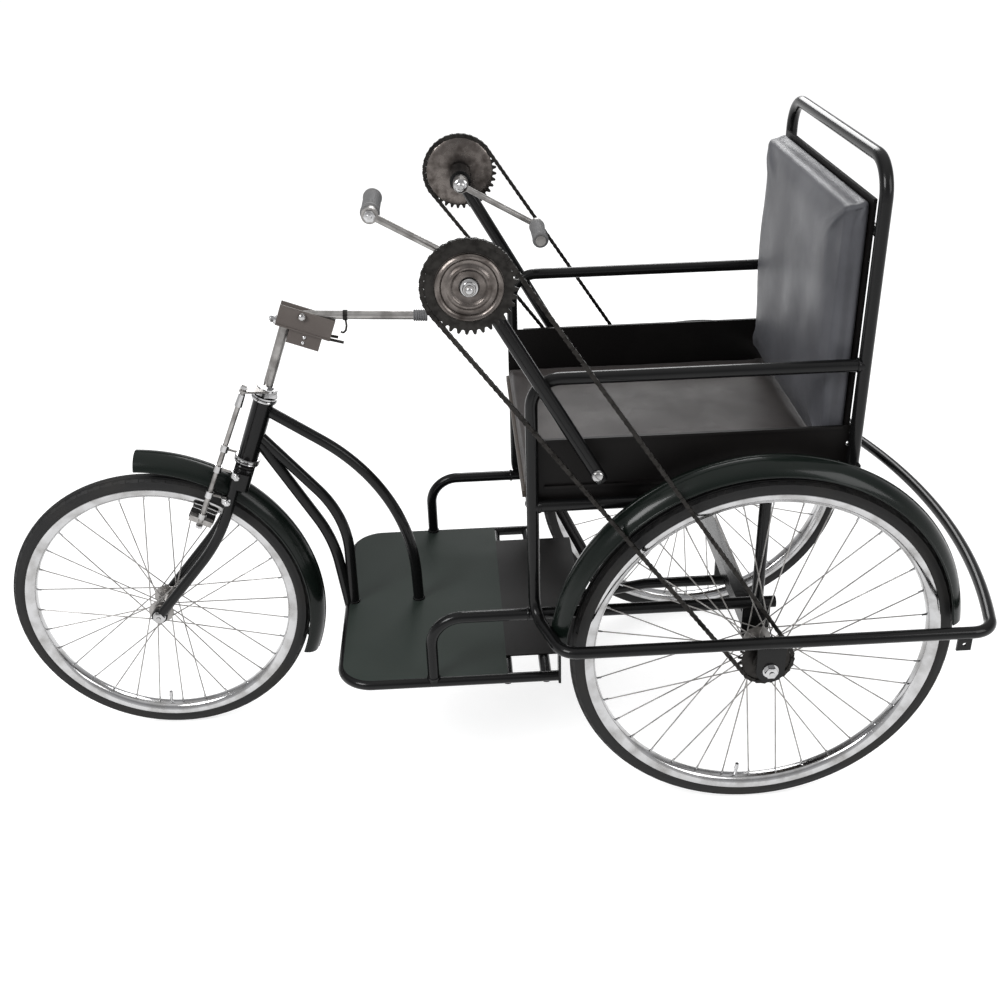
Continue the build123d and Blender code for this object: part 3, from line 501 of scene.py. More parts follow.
for wheel, body in wheels.items():
    centre = middle(f"{wheel}_rim")
    low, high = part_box(f"{wheel}_rim")
    seat = (high.z - low.z) / 2
    half = (high.y - low.y) / 2
    profile = [(seat + rise * mm, half + shift * mm) for rise, shift in rim_section]
    made = bmesh.new()
    outline = profile + [(radius, -height) for radius, height in reversed(profile)]
    skin = [(radius + rim_sheet, height * skin_share) for radius, height in outline[::-1]]
    spun(made, outline + skin, Matrix.Identity(4), rim_steps, closed=True)
    count = spoke_counts[wheel]
    inner = seat - rim_depth
    for spoke in range(count):
        turn = 2 * pi * spoke / count
        way = Vector((cos(turn), sin(turn), 0))
        rod(made, way * (inner + sunk), way * (inner - nipple_length), nipple_radius, 8, nipple_tip_radius)
    valve_turn = 2 * pi * (count // 4 + 0.5) / count
    way = Vector((cos(valve_turn), sin(valve_turn), 0))
    rod(made, way * (inner + sunk), way * (inner - valve_length), valve_radius, 12)
    rod(made, way * (inner - valve_length), way * (inner - cap_end), cap_radius, 12, cap_tip_radius)
    bmesh.ops.transform(made, matrix=across(centre), verts=made.verts)
    piece(f"{wheel}_rim_rolled", made, "chrome", body, [f"{wheel}_rim"])
print("rims:", len(wheels))

# %% [markdown]
# A roller chain is pairs of plates on pins, in turn narrow and wide, with a roller on each pin. Each
# plate is drawn from its pin to the next one. The rollers on the two toothed wheels lie exactly in
# the gaps between the teeth, and each straight run is divided evenly between the last roller on one
# wheel and the first on the other.

# %% Chains
pitch = 12.7 * mm
drive_teeth, driven_teeth = 36, 24
plate_round, plate_waist = 4.4 * mm, 3.0 * mm
plate_thick = 0.9 * mm
roller_radius, roller_length = 3.9 * mm, 4.4 * mm
pin_radius, pin_length = 1.9 * mm, 9.2 * mm
narrow_level, wide_level = 2.2 * mm, 3.2 * mm
chain_plane = 368 * mm
drive_radius = pitch / (2 * sin(pi / drive_teeth))
driven_radius = pitch / (2 * sin(pi / driven_teeth))


def seats(centre, radius, teeth, start, end):
    """Roller places in the tooth gaps between two angles."""
    step = 2 * pi / teeth
    first = int(-(-start // step))
    last = int(end // step)
    return [Vector((centre.x + radius * cos(n * step), centre.z + radius * sin(n * step)))
            for n in range(first, last + 1)]


def chain_route(drive, driven):
    """Every roller of the closed loop, in the X and Z of the chain's plane."""
    run = Vector((driven.x - drive.x, driven.z - drive.z))
    heading = atan2(run.y, run.x)
    spread = acos((drive_radius - driven_radius) / run.length)
    on_drive = seats(drive, drive_radius, drive_teeth, heading + spread, heading + 2 * pi - spread)
    on_driven = seats(driven, driven_radius, driven_teeth, heading - spread, heading + spread)
    route = list(on_drive)
    links = round((on_driven[0] - on_drive[-1]).length / pitch)
    route += [on_drive[-1].lerp(on_driven[0], n / links) for n in range(1, links)]
    route += on_driven
    closing = round((on_drive[0] - on_driven[-1]).length / pitch)
    closing += (len(route) + closing - 1) % 2
    route += [on_driven[-1].lerp(on_drive[0], n / closing) for n in range(1, closing)]
    return route


def link_plate(made, start, end, level):
    """One plate with round ends and a waist, from pin to pin."""
    run = end - start
    disc = bmesh.ops.create_circle(made, cap_ends=True, segments=12, radius=plate_round)["verts"]
    for corner in disc:
        if abs(corner.co.x) < 1e-6:
            corner.co.y *= plate_waist / plate_round
        else:
            corner.co.x += run.length / 2 * (1 if corner.co.x > 0 else -1)
    face = [face for face in made.faces if set(disc) == set(face.verts)]
    solid = bmesh.ops.extrude_face_region(made, geom=face)["geom"]
    lifted = [corner for corner in solid if isinstance(corner, bmesh.types.BMVert)]
    bmesh.ops.translate(made, vec=(0, 0, plate_thick), verts=lifted)
    heading = atan2(run.y, run.x)
    placing = Matrix.Translation(((start.x + end.x) / 2, (start.y + end.y) / 2, level))
    bmesh.ops.transform(made, matrix=placing @ Matrix.Rotation(heading, 4, "Z"), verts=disc + lifted)


upright = Matrix(((1, 0, 0, 0), (0, 0, -1, 0), (0, 1, 0, 0), (0, 0, 0, 1)))
for side, sign in (("left", -1), ("right", 1)):
    ring = middle(f"{side}_chainwheel")
    drive = Vector((ring.x, 0, ring.z))
    driven = middle(f"{side}_sprocket")
    plane_y = sign * chain_plane
    route = chain_route(drive, driven)
    made = bmesh.new()
    for n, start in enumerate(route):
        end = route[(n + 1) % len(route)]
        inner = narrow_level if n % 2 else wide_level
        for level in (inner, -inner - plate_thick):
            link_plate(made, start, end, level)
        for radius, length, sides in ((roller_radius, roller_length, 10), (pin_radius, pin_length, 8)):
            bmesh.ops.create_cone(made, cap_ends=True, segments=sides, radius1=radius, radius2=radius,
                                  depth=length, matrix=Matrix.Translation((start.x, start.y, 0)))
    bmesh.ops.transform(made, matrix=Matrix.Translation((0, plane_y, 0)) @ upright, verts=made.verts)
    piece(f"{side}_roller_chain", made, "oiled_steel", "chassis", ["chains"])
    print(side, "chain:", len(route), "links")

# %% [markdown]
# The chainwheel is a dark toothed ring on a pressed steel dish. The dish is what shines in the
# photograph: a rolled outer edge, a sloping wall, a second ridge and a well about the axle. Its
# section is closed by a plainer back, which shows from the inner side.

# %% Chainwheels
tooth_tip, tooth_root = drive_radius + 3.6 * mm, drive_radius - 4.4 * mm
tooth_foot, tooth_shoulder = tooth_root + 0.8 * mm, tooth_tip - 1.4 * mm
phase_radius = (tooth_root, tooth_foot, tooth_shoulder, tooth_tip, tooth_shoulder, tooth_foot)
ring_half = 1.5 * mm
ring_hole = 52 * mm
# Columns of the three sections: radius and distance out from the chain's plane, in millimetres.
dish_front = [(53.6, 1.6), (53.9, 4.4), (52.4, 7.0), (49.6, 8.6), (46.6, 8.0), (44.2, 5.6), (42.6, 2.6),
              (39.0, 1.2), (35.6, 2.0), (33.0, 4.2), (30.6, 5.0), (28.2, 4.2), (26.4, 1.8), (24.0, 0.6),
              (16.0, 0.4)]
dish_back = [(16.0, -5.6), (30.0, -6.6), (46.0, -6.0), (58.0, -4.6), (66.0, -3.0), (68.2, -1.9),
             (67.0, -1.55)]
axle_end = [(0.0, 21.6), (3.4, 21.2), (5.6, 19.6), (6.6, 17.6), (6.6, 14.4), (9.4, 14.0), (10.6, 12.4),
            (10.8, 6.6), (13.4, 6.0), (14.4, 4.8), (14.8, 0.6), (9.0, 0.6)]
for side, sign in (("left", -1), ("right", 1)):
    wheel_spot = middle(f"{side}_chainwheel")
    axle = Vector((wheel_spot.x, sign * chain_plane, wheel_spot.z))
    made = bmesh.new()
    points = drive_teeth * len(phase_radius)
    outline = bmesh.ops.create_circle(made, cap_ends=False, segments=points, radius=1)["verts"]
    for corner in outline:
        turn = round(atan2(corner.co.y, corner.co.x) / (2 * pi) * points) % points
        way = Vector((cos(2 * pi * turn / points), sin(2 * pi * turn / points), 0))
        corner.co = way * phase_radius[turn % len(phase_radius)]
    bmesh.ops.create_circle(made, cap_ends=False, segments=72, radius=ring_hole)
    bmesh.ops.bridge_loops(made, edges=made.edges[:])
    walled = bmesh.ops.extrude_face_region(made, geom=made.faces[:])["geom"]
    lifted = [corner for corner in walled if isinstance(corner, bmesh.types.BMVert)]
    bmesh.ops.translate(made, vec=(0, 0, 2 * ring_half), verts=lifted)
    bmesh.ops.translate(made, vec=(0, 0, -ring_half), verts=made.verts)
    bmesh.ops.transform(made, matrix=Matrix.Translation(axle) @ upright, verts=made.verts)
    piece(f"{side}_toothed_ring", made, "oiled_steel", f"{side}_crankset", [f"{side}_chainwheel"], 30)

    made = bmesh.new()
    section = [(radius * mm, level * mm) for radius, level in dish_front + dish_back]
    spun(made, section, across(axle, sign), 96, closed=True)
    piece(f"{side}_pressed_dish", made, "dish_steel", f"{side}_crankset")

    made = bmesh.new()
    spun(made, [(radius * mm, level * mm) for radius, level in axle_end], across(axle, sign), 48)
    piece(f"{side}_axle_end", made, "chrome", f"{side}_crankset", (), 30)
print("chainwheels: ring, dish and axle end on both sides")

# %% [markdown]
# Two kinds of grip: fat rings of grey rubber on the cranks, which spin on their pins, and a short
# sleeve of the same rubber on the tiller. Both are spun from a stepped section.

# %% Grips
tiller_drop = radians(2.9)
pin_hole = 5.2 * mm
grip_rings, sleeve_rings = 11, 5
end_share, flange_share = 0.86, 1.05
rings_from_share, rings_span_share = 0.08, 0.84
# Columns: radius as a share of the grip's, place as a share of one ring's length.
ring_shares = ((0.90, 0), (0.90, 0.3), (0.99, 0.45), (0.99, 0.85))
for side, sign in (("left", -1), ("right", 1)):
    low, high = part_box(f"{side}_grip")
    outer = (high.z - low.z) / 2
    length = high.y - low.y
    spot = Vector(((low.x + high.x) / 2, low.y if sign > 0 else high.y, (low.z + high.z) / 2))
    section = [(pin_hole, 0.0), (outer * end_share, 0.0), (outer * flange_share, length * 0.02),
               (outer * flange_share, length * 0.05)]
    for ring in range(grip_rings):
        base_at = length * (rings_from_share + rings_span_share * ring / grip_rings)
        rise = length * rings_span_share / grip_rings
        section += [(outer * wide, base_at + rise * along) for wide, along in ring_shares]
    section += [(outer * flange_share, length * 0.95), (outer * flange_share, length * 0.98),
                (outer * end_share, length), (pin_hole, length)]
    made = bmesh.new()
    spun(made, section, across(spot, sign), 40, closed=True)
    piece(f"{side}_ribbed_grip", made, "grip_rubber", f"{side}_handle", [f"{side}_grip"], 30)
low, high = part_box("tiller_bar")
bar_radius = (high.y - low.y) / 2
bar_way = Vector((cos(tiller_drop), 0, -sin(tiller_drop)))
bar_end = Vector((high.x - bar_radius * sin(tiller_drop), 0, low.z + bar_radius * cos(tiller_drop)))
low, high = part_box("tiller_grip")
outer = (high.y - low.y) / 2
sleeve = (high.x - low.x - 2 * outer * sin(tiller_drop)) / cos(tiller_drop)
section = [(bar_radius, 0.0), (outer * 0.9, 0.0), (outer, 1.5 * mm)]
for ring in range(sleeve_rings):
    base_at = sleeve * (0.12 + 0.16 * ring)
    section += [(outer * 0.88, base_at), (outer * 0.88, base_at + 1.4 * mm), (outer, base_at + 2.2 * mm),
                (outer, base_at + 3.6 * mm)]
section += [(outer, sleeve - 2 * mm), (outer * 0.85, sleeve), (bar_radius, sleeve)]
made = bmesh.new()
turned = Matrix.Rotation(pi / 2 + tiller_drop, 4, "Y")
spun(made, section, Matrix.Translation(bar_end - bar_way * sleeve) @ turned, 32, closed=True)
piece("tiller_sleeve", made, "grip_rubber", "tiller", ["tiller_grip"], 30)
print("grips: one on each crank, one on the tiller")

# %% [markdown]
# A cushion is a closed skin with something soft inside. The block that the frame keeps for it is
# rounded and remeshed to an even net. Cloth with a little pressure then swells the net, the side
# that rests on its board stays put, and no point may move further than a few millimetres, because
# these pads are thin and tightly covered.


# %% Swelling a pad
cloth_steps = 20


def rounded_block(low, high, radius, segments=4):
    made = bmesh.new()
    bmesh.ops.create_cube(made, size=1)
    size = high - low
    bmesh.ops.scale(made, vec=size, verts=made.verts)
    bmesh.ops.translate(made, vec=(low + high) / 2, verts=made.verts)
    bmesh.ops.bevel(made, geom=made.edges[:], offset=radius, affect="EDGES", segments=segments, profile=0.5,
                    material=-1)
    return made


def settled(thing):
    """The mesh of an object with its modifiers worked in."""
    graph = bpy.context.evaluated_depsgraph_get()
    return bpy.data.meshes.new_from_object(thing.evaluated_get(graph))


def swollen(name, low, high, radius, voxel, held, pressure, cap):
    """held(corner) is true where the pad rests."""
    made = rounded_block(low, high, radius)
    mesh = bpy.data.meshes.new(name + "_start")
    made.to_mesh(mesh)
    made.free()
    pad = bpy.data.objects.new(name + "_start", mesh)
    scene.collection.objects.link(pad)
    remesh = pad.modifiers.new("net", "REMESH")
    remesh.mode = "VOXEL"
    remesh.voxel_size = voxel
    net = settled(pad)
    pad.modifiers.clear()
    pad.data = net
    start = [corner.co.copy() for corner in net.vertices]
    resting = pad.vertex_groups.new(name="resting")
    resting.add([n for n, spot in enumerate(start) if held(spot)], 1.0, "REPLACE")
    cloth = pad.modifiers.new("cloth", "CLOTH")
    cloth.settings.use_pressure = True
    cloth.settings.uniform_pressure_force = pressure
    cloth.settings.vertex_group_mass = "resting"
    cloth.settings.effector_weights.gravity = 0
    cloth.point_cache.frame_start = 1
    cloth.point_cache.frame_end = cloth_steps
    for step in range(1, cloth_steps + 1):
        scene.frame_set(step)
    swelled = settled(pad)
    for corner, begun in zip(swelled.vertices, start):
        moved = corner.co - begun
        if moved.length > cap:
            corner.co = begun + moved.normalized() * cap
    pad.modifiers.clear()
    pad.data = swelled
    scene.frame_set(1)
    shaped = bmesh.new()
    shaped.from_mesh(pad.data)
    bpy.data.objects.remove(pad)
    return shaped


def finer(thing):
    """One level of subdivision, worked into the mesh."""
    modifier = thing.modifiers.new("finer", "SUBSURF")
    modifier.levels = 1
    modifier.render_levels = 1
    mesh = settled(thing)
    thing.modifiers.clear()
    thing.data = mesh
    for face in mesh.polygons:
        face.use_smooth = True


print("pad helpers ready")

# %% [markdown]
# The seat pad is a thin slab under coated cloth. Its top is nearly flat, with a soft crown, slight
# hollows where riders sit and low ripples in the cover.

# %% Seat pad
low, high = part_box("seat_pad")
seat_low, seat_high = low.copy(), high.copy()
inset = 3 * mm
held_depth = 5 * mm
hollow_depth, ripple = 2.2 * mm, 0.5 * mm
made = swollen("seat", low + Vector((inset, inset, 0)), high - Vector((inset, inset, inset)),
               radius=8 * mm, voxel=6 * mm, held=lambda spot: spot.z < seat_low.z + held_depth,
               pressure=3.0, cap=6 * mm)
for corner in made.verts:
    share_x = (corner.co.x - seat_low.x) / (seat_high.x - seat_low.x)
    share_y = corner.co.y / seat_high.y
    if corner.co.z > (seat_low.z + seat_high.z) / 2:
        hollow = cos(pi * (share_x - 0.45)) ** 2 * cos(pi * (abs(share_y) - 0.42)) ** 2
        corner.co.z -= hollow_depth * max(0, hollow)
        corner.co.z += ripple * sin(corner.co.x * 41) * cos(corner.co.y * 37 + corner.co.x * 19)
    corner.co.z = max(corner.co.z, seat_low.z)
seat = piece("seat_cushion", made, "seat_vinyl", "chassis", ["seat_pad"], 180)
finer(seat)
print("seat pad:", len(seat.data.polygons), "faces")

# %% [markdown]
# The back pad is thicker, with soft upright folds in its cover, which the photograph shows as pale
# streaks. The folds are deepest at half height and fade towards both sides. The pad rests on the
# back board.

# %% Back pad
low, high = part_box("back_pad")
back_low, back_high = low.copy(), high.copy()
front_inset, edge_inset = 5 * mm, 4 * mm
fold_depth, wave_depth = 1.0 * mm, 0.8 * mm
made = swollen("back", low + Vector((front_inset, edge_inset, edge_inset)),
               high - Vector((0, edge_inset, edge_inset)), radius=9 * mm, voxel=7 * mm,
               held=lambda spot: spot.x > back_high.x - held_depth, pressure=3.5, cap=8 * mm)
for corner in made.verts:
    depth = (back_high.x - corner.co.x) / (back_high.x - back_low.x)
    share_y = corner.co.y / back_high.y
    share_z = (corner.co.z - back_low.z) / (back_high.z - back_low.z)
    if depth > 0.6:
        fold = sin(corner.co.y * 46 + 2.1 * sin(corner.co.z * 6.5)) * (0.4 + 0.6 * sin(pi * share_z))
        corner.co.x += fold_depth * fold * (1 - share_y ** 4)
        corner.co.x += wave_depth * sin(corner.co.z * 23 + corner.co.y * 9)
    corner.co.x = min(corner.co.x, back_high.x)
back = piece("back_cushion", made, "back_vinyl", "chassis", ["back_pad"], 180)
finer(back)
print("back pad:", len(back.data.polygons), "faces")

# %% [markdown]
# Small fittings are what tells a real machine from a drawing of one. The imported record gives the
# place and the direction of the steering axis, so every fitting on the fork is placed by how far it
# stands along that axis, ahead of it and to the side.

# %% Steering axis and bright fittings
joints = {joint["name"]: joint for joint in frame["record"]["behaviour"]["joints"]}
head_low = Vector(joints["steering"]["pos_m"])
steer_way = Vector(joints["steering"]["axis"]).normalized()
forward_way = steer_way.cross(Vector((0, 1, 0))).normalized()
if forward_way.x > 0:
    forward_way.negate()
bolt_spot = Vector(joints["tiller_tilt"]["pos_m"])


def steer_point(along, forward=0.0, side=0.0):
    """A point given in millimetres along the steering axis, ahead of it and to the side."""
    return head_low + (steer_way * along + forward_way * forward + Vector((0, side, 0))) * mm


steer_frame = Matrix((Vector((0, 1, 0)), forward_way, steer_way)).transposed().to_4x4()


def facing(spot, way):
    """A placing whose Z points along way."""
    return Matrix.Translation(spot) @ Vector(way).to_track_quat("Z", "X").to_matrix().to_4x4()


def hex_nut(made, spot, way, width, height):
    """A nut, by its width over the flats, with a round boss and the end of its bolt."""
    way = Vector(way).normalized()
    rod(made, spot, spot + way * height * 0.9, width / 3 ** 0.5, 6)
    rod(made, spot + way * height * 0.9, spot + way * height, width * 0.48, 24, width * 0.40)
    rod(made, spot + way * height, spot + way * height * 1.35, width * 0.24, 16, width * 0.20)


def dome(made, spot, way, radius, height):
    profile = [(radius, 0.0), (radius, height * 0.25), (radius * 0.86, height * 0.62),
               (radius * 0.52, height * 0.92), (0.0, height)]
    spun(made, profile, facing(spot, way), 28)


print("fittings ready; steering axis leans", round(acos(steer_way.z) * 180 / pi, 1), "degrees")

# %% [markdown]
# The head bearings are plated cups that swell beyond the head tube. Two hexagon nuts and a round
# one close the top cup, and a plain race lies under the bottom cup on the fork crown.

# %% Head bearings
# Columns: radius and height in millimetres. Places are millimetres along the steering axis.
cup = [(13.4, 0.0), (22.8, 0.0), (25.0, 1.8), (25.2, 4.2), (23.4, 6.6), (24.9, 8.6), (24.6, 11.2),
       (13.4, 11.6)]
race = [(12.9, 0), (21.4, 0), (22.6, 2.2), (12.9, 3.0)]
top_cup, low_cup, race_place = 127.6, 0.4, -15
made = bmesh.new()
for place, way in ((top_cup, steer_way), (low_cup, -steer_way)):
    spun(made, [(radius * mm, level * mm) for radius, level in cup], facing(steer_point(place), way), 48,
         closed=True)
piece("head_cups", made, "chrome", "chassis", (), 30)
made = bmesh.new()
spun(made, [(radius * mm, level * mm) for radius, level in race],
     facing(steer_point(race_place), steer_way), 48, closed=True)
# Columns: lower end, upper end, radius below, radius above, sides.
lock_nuts = ((140.2, 150.4, 23.6, 23.6, 6), (155.0, 160.4, 15.0, 15.0, 6), (151.0, 157.0, 21.4, 20.6, 36))
for start, end, wide, slim, sides in lock_nuts:
    rod(made, steer_point(start), steer_point(end), wide * mm, sides, slim * mm)
piece("head_lock_nuts", made, "chrome", "steering", (), 30)
print("head bearings: 2 cups, 1 race,", len(lock_nuts), "nuts")

# %% [markdown]
# The tiller turns on a round-headed bolt through its bracket. A bright cap with a nut closes the
# bracket in front, two stop pins stand out behind, and a wire hook hangs under the bar.

# %% Tiller fittings
bracket_face = 12.2 * mm
screw_line, screw_root, screw_end = 291.5, 12, 31
washer_root, washer_end, front_nut = 18.4, 21.5, 22
stem_top = 289.4
rivet_behind, rivet_side = -40, 10.6
rivet_heights = (266, 277)
made = bmesh.new()
dome(made, bolt_spot + Vector((0, -bracket_face, 0)), (0, -1, 0), 8.0 * mm, 6.4 * mm)
hex_nut(made, bolt_spot + Vector((0, bracket_face, 0)), (0, 1, 0), 14 * mm, 6.0 * mm)
rod(made, steer_point(screw_line, screw_root), steer_point(screw_line, screw_end), 5.0 * mm, 20)
rod(made, steer_point(screw_line, washer_root), steer_point(screw_line, washer_end), 9.4 * mm, 28)
hex_nut(made, steer_point(screw_line, front_nut), forward_way, 13 * mm, 6.5 * mm)
hex_nut(made, steer_point(stem_top), steer_way, 15 * mm, 6.5 * mm)
for height in rivet_heights:
    for side in (-1, 1):
        dome(made, steer_point(height, rivet_behind, side * rivet_side), (0, side, 0), 3.6 * mm, 2.4 * mm)
piece("tiller_bolts", made, "chrome", "steering", (), 35)

lip_along, lip_behind, lip_side = 287, -34, 12.6
lip = Matrix.Diagonal((3.4 * mm, 104 * mm, 3 * mm, 1))
made = bmesh.new()
for side in (-1, 1):
    spot = Matrix.Translation(steer_point(lip_along, lip_behind, side * lip_side))
    bmesh.ops.create_cube(made, size=1, matrix=spot @ steer_frame @ lip)
piece("bracket_lips", made, "bracket_steel", "steering")

pin_root, pin_rise, pin_behind = 287.6, 290.0, -84
# Columns: side, and how far behind the axis the pin ends.
stop_pins = ((-9, -112), (9, -100))
made = bmesh.new()
for side, end in stop_pins:
    rod(made, steer_point(pin_root, pin_behind, side), steer_point(pin_rise, end, side), 2.8 * mm, 14)
piece("tiller_stop_pins", made, "oiled_steel", "steering")

made = bmesh.new()
hook_along, hook_wire = 78, 1.9 * mm
hook_top = bolt_spot + bar_way * hook_along * mm
# The wire's corners from the bar's middle, in millimetres.
hook = [Vector(corner) for corner in ((0, 0, -6), (1, -9, -8), (2, -13, -16), (0, -13, -25),
                                      (-5, -12, -30), (-10, -12, -28))]
for start, end in zip(hook, hook[1:]):
    rod(made, hook_top + start * mm, hook_top + end * mm, hook_wire, 12)
clip_inner, clip_outer, clip_half = 8.1 * mm, 9.8 * mm, 4 * mm
spun(made, [(clip_inner, -clip_half), (clip_outer, -clip_half), (clip_outer, clip_half),
            (clip_inner, clip_half)], facing(hook_top, bar_way), 28, closed=True)
piece("tiller_hook", made, "oiled_steel", "tiller")
print("tiller fittings: bolt, cap,", len(stop_pins), "stop pins and hook")

# %% [markdown]
# The rod brake is a stirrup: a plated collar holds each rod, a band with a bolt ties it to the fork
# blade, and rubber blocks in steel shoes stand a little clear of the rim.

# %% Brake fittings
brake_side, rod_lean, rod_low, shoe_forward = 43, 0.045, -146, 54
guide_half, band_side, band_bolt = 7, 46, 12 * mm
band_inner, band_outer, band_half = 10.3 * mm, 12.4 * mm, 6 * mm
# Columns: place along the axis, how far ahead of it the band sits, the blade's lean there.
guides = ((-20, 10, 0), (-80, 15, 0.2))


def rod_point(along, side):
    return steer_point(along, shoe_forward - rod_lean * (along - rod_low), side * brake_side)


made = bmesh.new()


for side in (-1, 1):
    for guide, forward, lean in guides:
        rod(made, rod_point(guide - guide_half, side), rod_point(guide + guide_half, side), 8.2 * mm, 24)
        band = steer_point(guide, forward, side * band_side)
        run = forward_way * lean + steer_way
        spun(made, [(band_inner, -band_half), (band_outer, -band_half), (band_outer, band_half),
                    (band_inner, band_half)], facing(band, run), 32, closed=True)
        hex_nut(made, band + Vector((0, side * band_bolt, 0)), (0, side, 0), 11 * mm, 5.5 * mm)
    rod(made, rod_point(-138, side), rod_point(-126, side), 8.0 * mm, 24)
    hex_nut(made, rod_point(-154, side), -steer_way, 13 * mm, 5.5 * mm)
hex_nut(made, rod_point(158, -1), steer_way, 13 * mm, 6 * mm)
rod(made, rod_point(120, -1), rod_point(146, -1), 7.4 * mm, 24, 6.4 * mm)
rod(made, rod_point(20, -1), rod_point(34, -1), 7.6 * mm, 24)
piece("brake_clamps", made, "chrome", "steering", (), 30)

made = bmesh.new()
hub_spot = middle("front_rim")
shoe_spot = steer_point(rod_low, shoe_forward)
shoe_side = 20.6 * mm
shoe_corner = Vector((25, 9, 7.6)) * mm
outward = (shoe_spot - hub_spot).normalized()
along_rim = Vector((0, 1, 0)).cross(outward)
turn = Matrix((along_rim, Vector((0, 1, 0)), outward)).transposed().to_4x4()
for side in (-1, 1):
    block = rounded_block(-shoe_corner, shoe_corner, 2 * mm, 2)
    spot = shoe_spot + Vector((0, side * shoe_side, 0))
    bmesh.ops.transform(block, matrix=Matrix.Translation(spot) @ turn, verts=block.verts)
    held = bpy.data.meshes.new("shoe_block")
    block.to_mesh(held)
    block.free()
    made.from_mesh(held)
piece("brake_rubbers", made, "tyre_rubber", "steering", (), 30)
print("brake fittings:", 2 * len(guides), "bands with their collars, 2 rubbers")

# %% [markdown]
# Every axle ends in a nut with a washer under it, and each crank column is held by a bright round
# nut. The crank eyes and the end of each spindle get a cap.

# %% Nuts, washers and caps
washer_thick = 1.6 * mm
rear_nut_y, front_nut_y = 402.8 * mm, 49.2 * mm
cap_y, cap_gap, eye_y, washer_y = 248 * mm, 0.2 * mm, 262.2 * mm, 247.6 * mm
# Columns: distance behind the rear axle, to the side and above the floor, radius, height.
frame_domes = ((-305, 313.4, 720, 11.4, 7.6), (139, 267.4, 737, 5.0, 3.2))


def axle_nut(made, spot, side, washer_radius, sides, width, height):
    """A washer with a nut on it, facing out of the tricycle."""
    seat = spot + Vector((0, side * washer_thick, 0))
    rod(made, spot, seat, washer_radius, sides)
    hex_nut(made, seat, (0, side, 0), width, height)


made = bmesh.new()
rear_hub = middle("left_rim")
for side in (-1, 1):
    spot = Vector((rear_hub.x, side * rear_nut_y, rear_hub.z))
    axle_nut(made, spot, side, 14.5 * mm, 32, 20.8 * mm, 8.2 * mm)
    for behind, out, height, radius, rise in frame_domes:
        spot = Vector((rear_hub.x + behind * mm, side * out * mm, height * mm))
        dome(made, spot, (0, side, 0), radius * mm, rise * mm)
piece("frame_nuts", made, "chrome", "chassis", (), 30)
made = bmesh.new()
for side in (-1, 1):
    spot = Vector((hub_spot.x, side * front_nut_y, hub_spot.z))
    axle_nut(made, spot, side, 13.0 * mm, 28, 20.6 * mm, 7 * mm)
piece("front_axle_nuts", made, "chrome", "steering", (), 30)
for name, sign in (("left", -1), ("right", 1)):
    made = bmesh.new()
    spindle = middle(f"{name}_chainwheel")
    pin = Vector(joints[f"{name}_handle_spin"]["pos_m"])
    inner = Vector((spindle.x, sign * cap_y, spindle.z))
    dome(made, inner + Vector((0, sign * cap_gap, 0)), (0, -sign, 0), 13.4 * mm, 3.4 * mm)
    hex_nut(made, inner, (0, -sign, 0), 15 * mm, 7 * mm)
    eye = Vector((pin.x, sign * eye_y, pin.z))
    hex_nut(made, eye, (0, sign, 0), 17 * mm, 6 * mm)
    spot = Vector((pin.x, sign * washer_y, pin.z))
    rod(made, spot, spot + Vector((0, -sign * 1.8 * mm, 0)), 11.8 * mm, 28)
    piece(f"{name}_crank_caps", made, "chrome", f"{name}_crankset", (), 30)
print("nuts and caps fitted")

# %% [markdown]
# A mudguard has a rolled edge on both sides and a raised rib along its middle. Each is a thin ring
# section turned about the centre of the guard's own circle. That centre is placed from the wheel's
# axle, and the places and radii here repeat the sizes of the guards in the frame.

# %% Mudguard beads
track_half, guard_edge = 328, 33.4
edge_wire, crown_wire = 2.1 * mm, 2.4 * mm
rear_ahead, rear_above, rear_span = 12 * mm, 18 * mm, (5.2, 175.8)
rear_edge_radius, rear_crown_radius = 354.6 * mm, 377.2 * mm
front_ahead, front_above, front_span = 18 * mm, 3 * mm, (-21.8, 86.8)
front_edge_radius, front_crown_radius = 324.6 * mm, 351.2 * mm


def bead(made, centre, radius, level, size, from_deg, to_deg):
    """An arc of wire about a line along Y. Angles turn from the rear up towards +Z."""
    start = radians(from_deg)
    out = Vector((cos(start), 0, sin(start)))
    ring = bmesh.ops.create_circle(made, cap_ends=True, segments=10, radius=size)["verts"]
    placing = Matrix((out, Vector((0, 1, 0)), out.cross(Vector((0, 1, 0))))).transposed().to_4x4()
    spot = centre + out * radius + Vector((0, level, 0))
    bmesh.ops.transform(made, matrix=Matrix.Translation(spot) @ placing, verts=ring)
    faces = [face for face in made.faces if set(face.verts) == set(ring)]
    bmesh.ops.spin(made, geom=faces, cent=centre, axis=(0, -1, 0), angle=radians(to_deg - from_deg), steps=72)


def guard_beads(made, centre, level, edge_radius, crown_radius, span):
    """The beads of one mudguard, whose middle plane is at level millimetres."""
    for edge in (-guard_edge, guard_edge):
        bead(made, centre, edge_radius, (level + edge) * mm, edge_wire, *span)
    bead(made, centre, crown_radius, level * mm, crown_wire, *span)


rear_guard = Vector((rear_hub.x - rear_ahead, 0, rear_hub.z + rear_above))
made = bmesh.new()
for side in (-1, 1):
    guard_beads(made, rear_guard, side * track_half, rear_edge_radius, rear_crown_radius, rear_span)
piece("rear_fender_beads", made, "fender_paint", "chassis")
front_guard = Vector((hub_spot.x - front_ahead, 0, hub_spot.z + front_above))
made = bmesh.new()
guard_beads(made, front_guard, 0, front_edge_radius, front_crown_radius, front_span)
piece("front_fender_beads", made, "fender_paint", "steering")
print("mudguard beads: two edges and a crown on each guard")

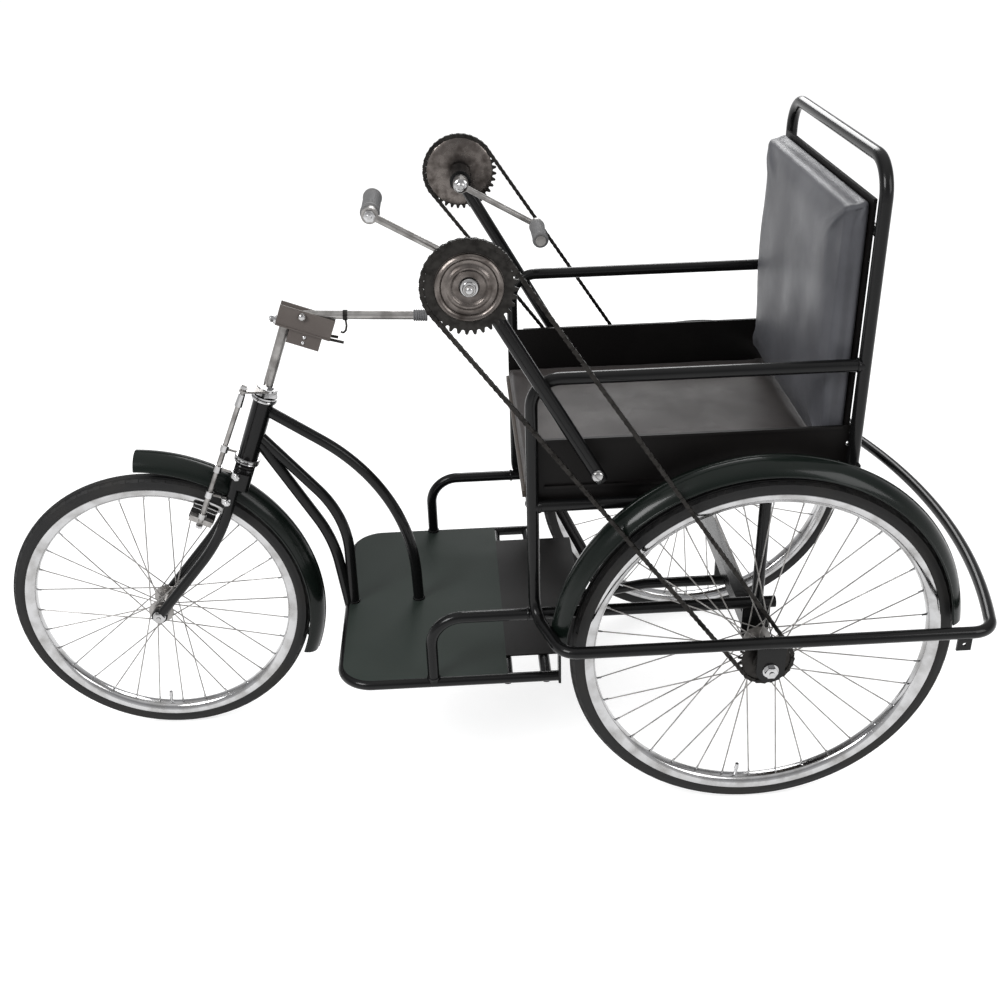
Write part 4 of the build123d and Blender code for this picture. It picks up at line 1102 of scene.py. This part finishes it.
# %% [markdown]
# Where tubes meet, the weld leaves a low uneven ring under the paint. A ring is spun round the tube
# ends that show most, and its width varies a little round the joint. The places here repeat those
# of the tubes in the frame.

# %% Weld beads
weld_wide, weld_tall, weld_sunk = 2.6 * mm, 2.8 * mm, 0.6 * mm
unevenness, waves, wave_shift = 0.22, 9, 300
tube_radius, slim_radius, tube_reach = 11 * mm, 8 * mm, 12 * mm
side_y, arm_z, seat_z, floor_z = 278 * mm, 888 * mm, 647 * mm, 286.5 * mm
post_x, back_x, guard_x = rear_hub.x - 415 * mm, rear_hub.x + 147 * mm, rear_hub.x - 609 * mm
along_x, along_y, along_z = (1, 0, 0), (0, 1, 0), (0, 0, 1)
# Columns: x, distance in from the side tubes, height, the tube's way, its radius.
side_welds = (
    (back_x - tube_reach, 0, arm_z, along_x, tube_radius),
    (post_x + tube_reach, 0, seat_z, along_x, tube_radius),
    (back_x - tube_reach, 0, seat_z, along_x, tube_radius),
    (post_x, tube_reach, seat_z, along_y, tube_radius),
    (back_x, tube_reach, seat_z, along_y, tube_radius),
    (guard_x, 0, 287 * mm, along_z, tube_radius),
    (post_x - tube_reach, 0, 420 * mm, along_x, tube_radius),
    (back_x, tube_reach, 760 * mm, along_y, slim_radius),
    (back_x, tube_reach, 1110 * mm, along_y, slim_radius),
)
# Distances ahead of the rear axle where the middle tubes meet the floor.
floor_welds = (640 * mm, 776 * mm)


def weld(made, spot, way, radius):
    ring = bmesh.new()
    section = [(radius + weld_wide * cos(turn) - weld_sunk, weld_tall * sin(turn))
               for turn in (2 * pi * n / 8 for n in range(8))]
    spun(ring, section, Matrix.Identity(4), 32, closed=True)
    for corner in ring.verts:
        turn = atan2(corner.co.y, corner.co.x)
        corner.co.z *= 1 + unevenness * sin(turn * waves + spot.x * wave_shift)
    bmesh.ops.transform(ring, matrix=facing(spot, way), verts=ring.verts)
    held = bpy.data.meshes.new("weld_ring")
    ring.to_mesh(held)
    ring.free()
    made.from_mesh(held)


made = bmesh.new()
for side in (-1, 1):
    for x, inward, height, way, radius in side_welds:
        weld(made, Vector((x, side * (side_y - inward), height)), way, radius)
for ahead in floor_welds:
    weld(made, Vector((rear_hub.x - ahead, 0, floor_z)), along_z, tube_radius)
piece("weld_beads", made, "frame_paint", "chassis")
print("weld beads:", 2 * len(side_welds) + len(floor_welds))
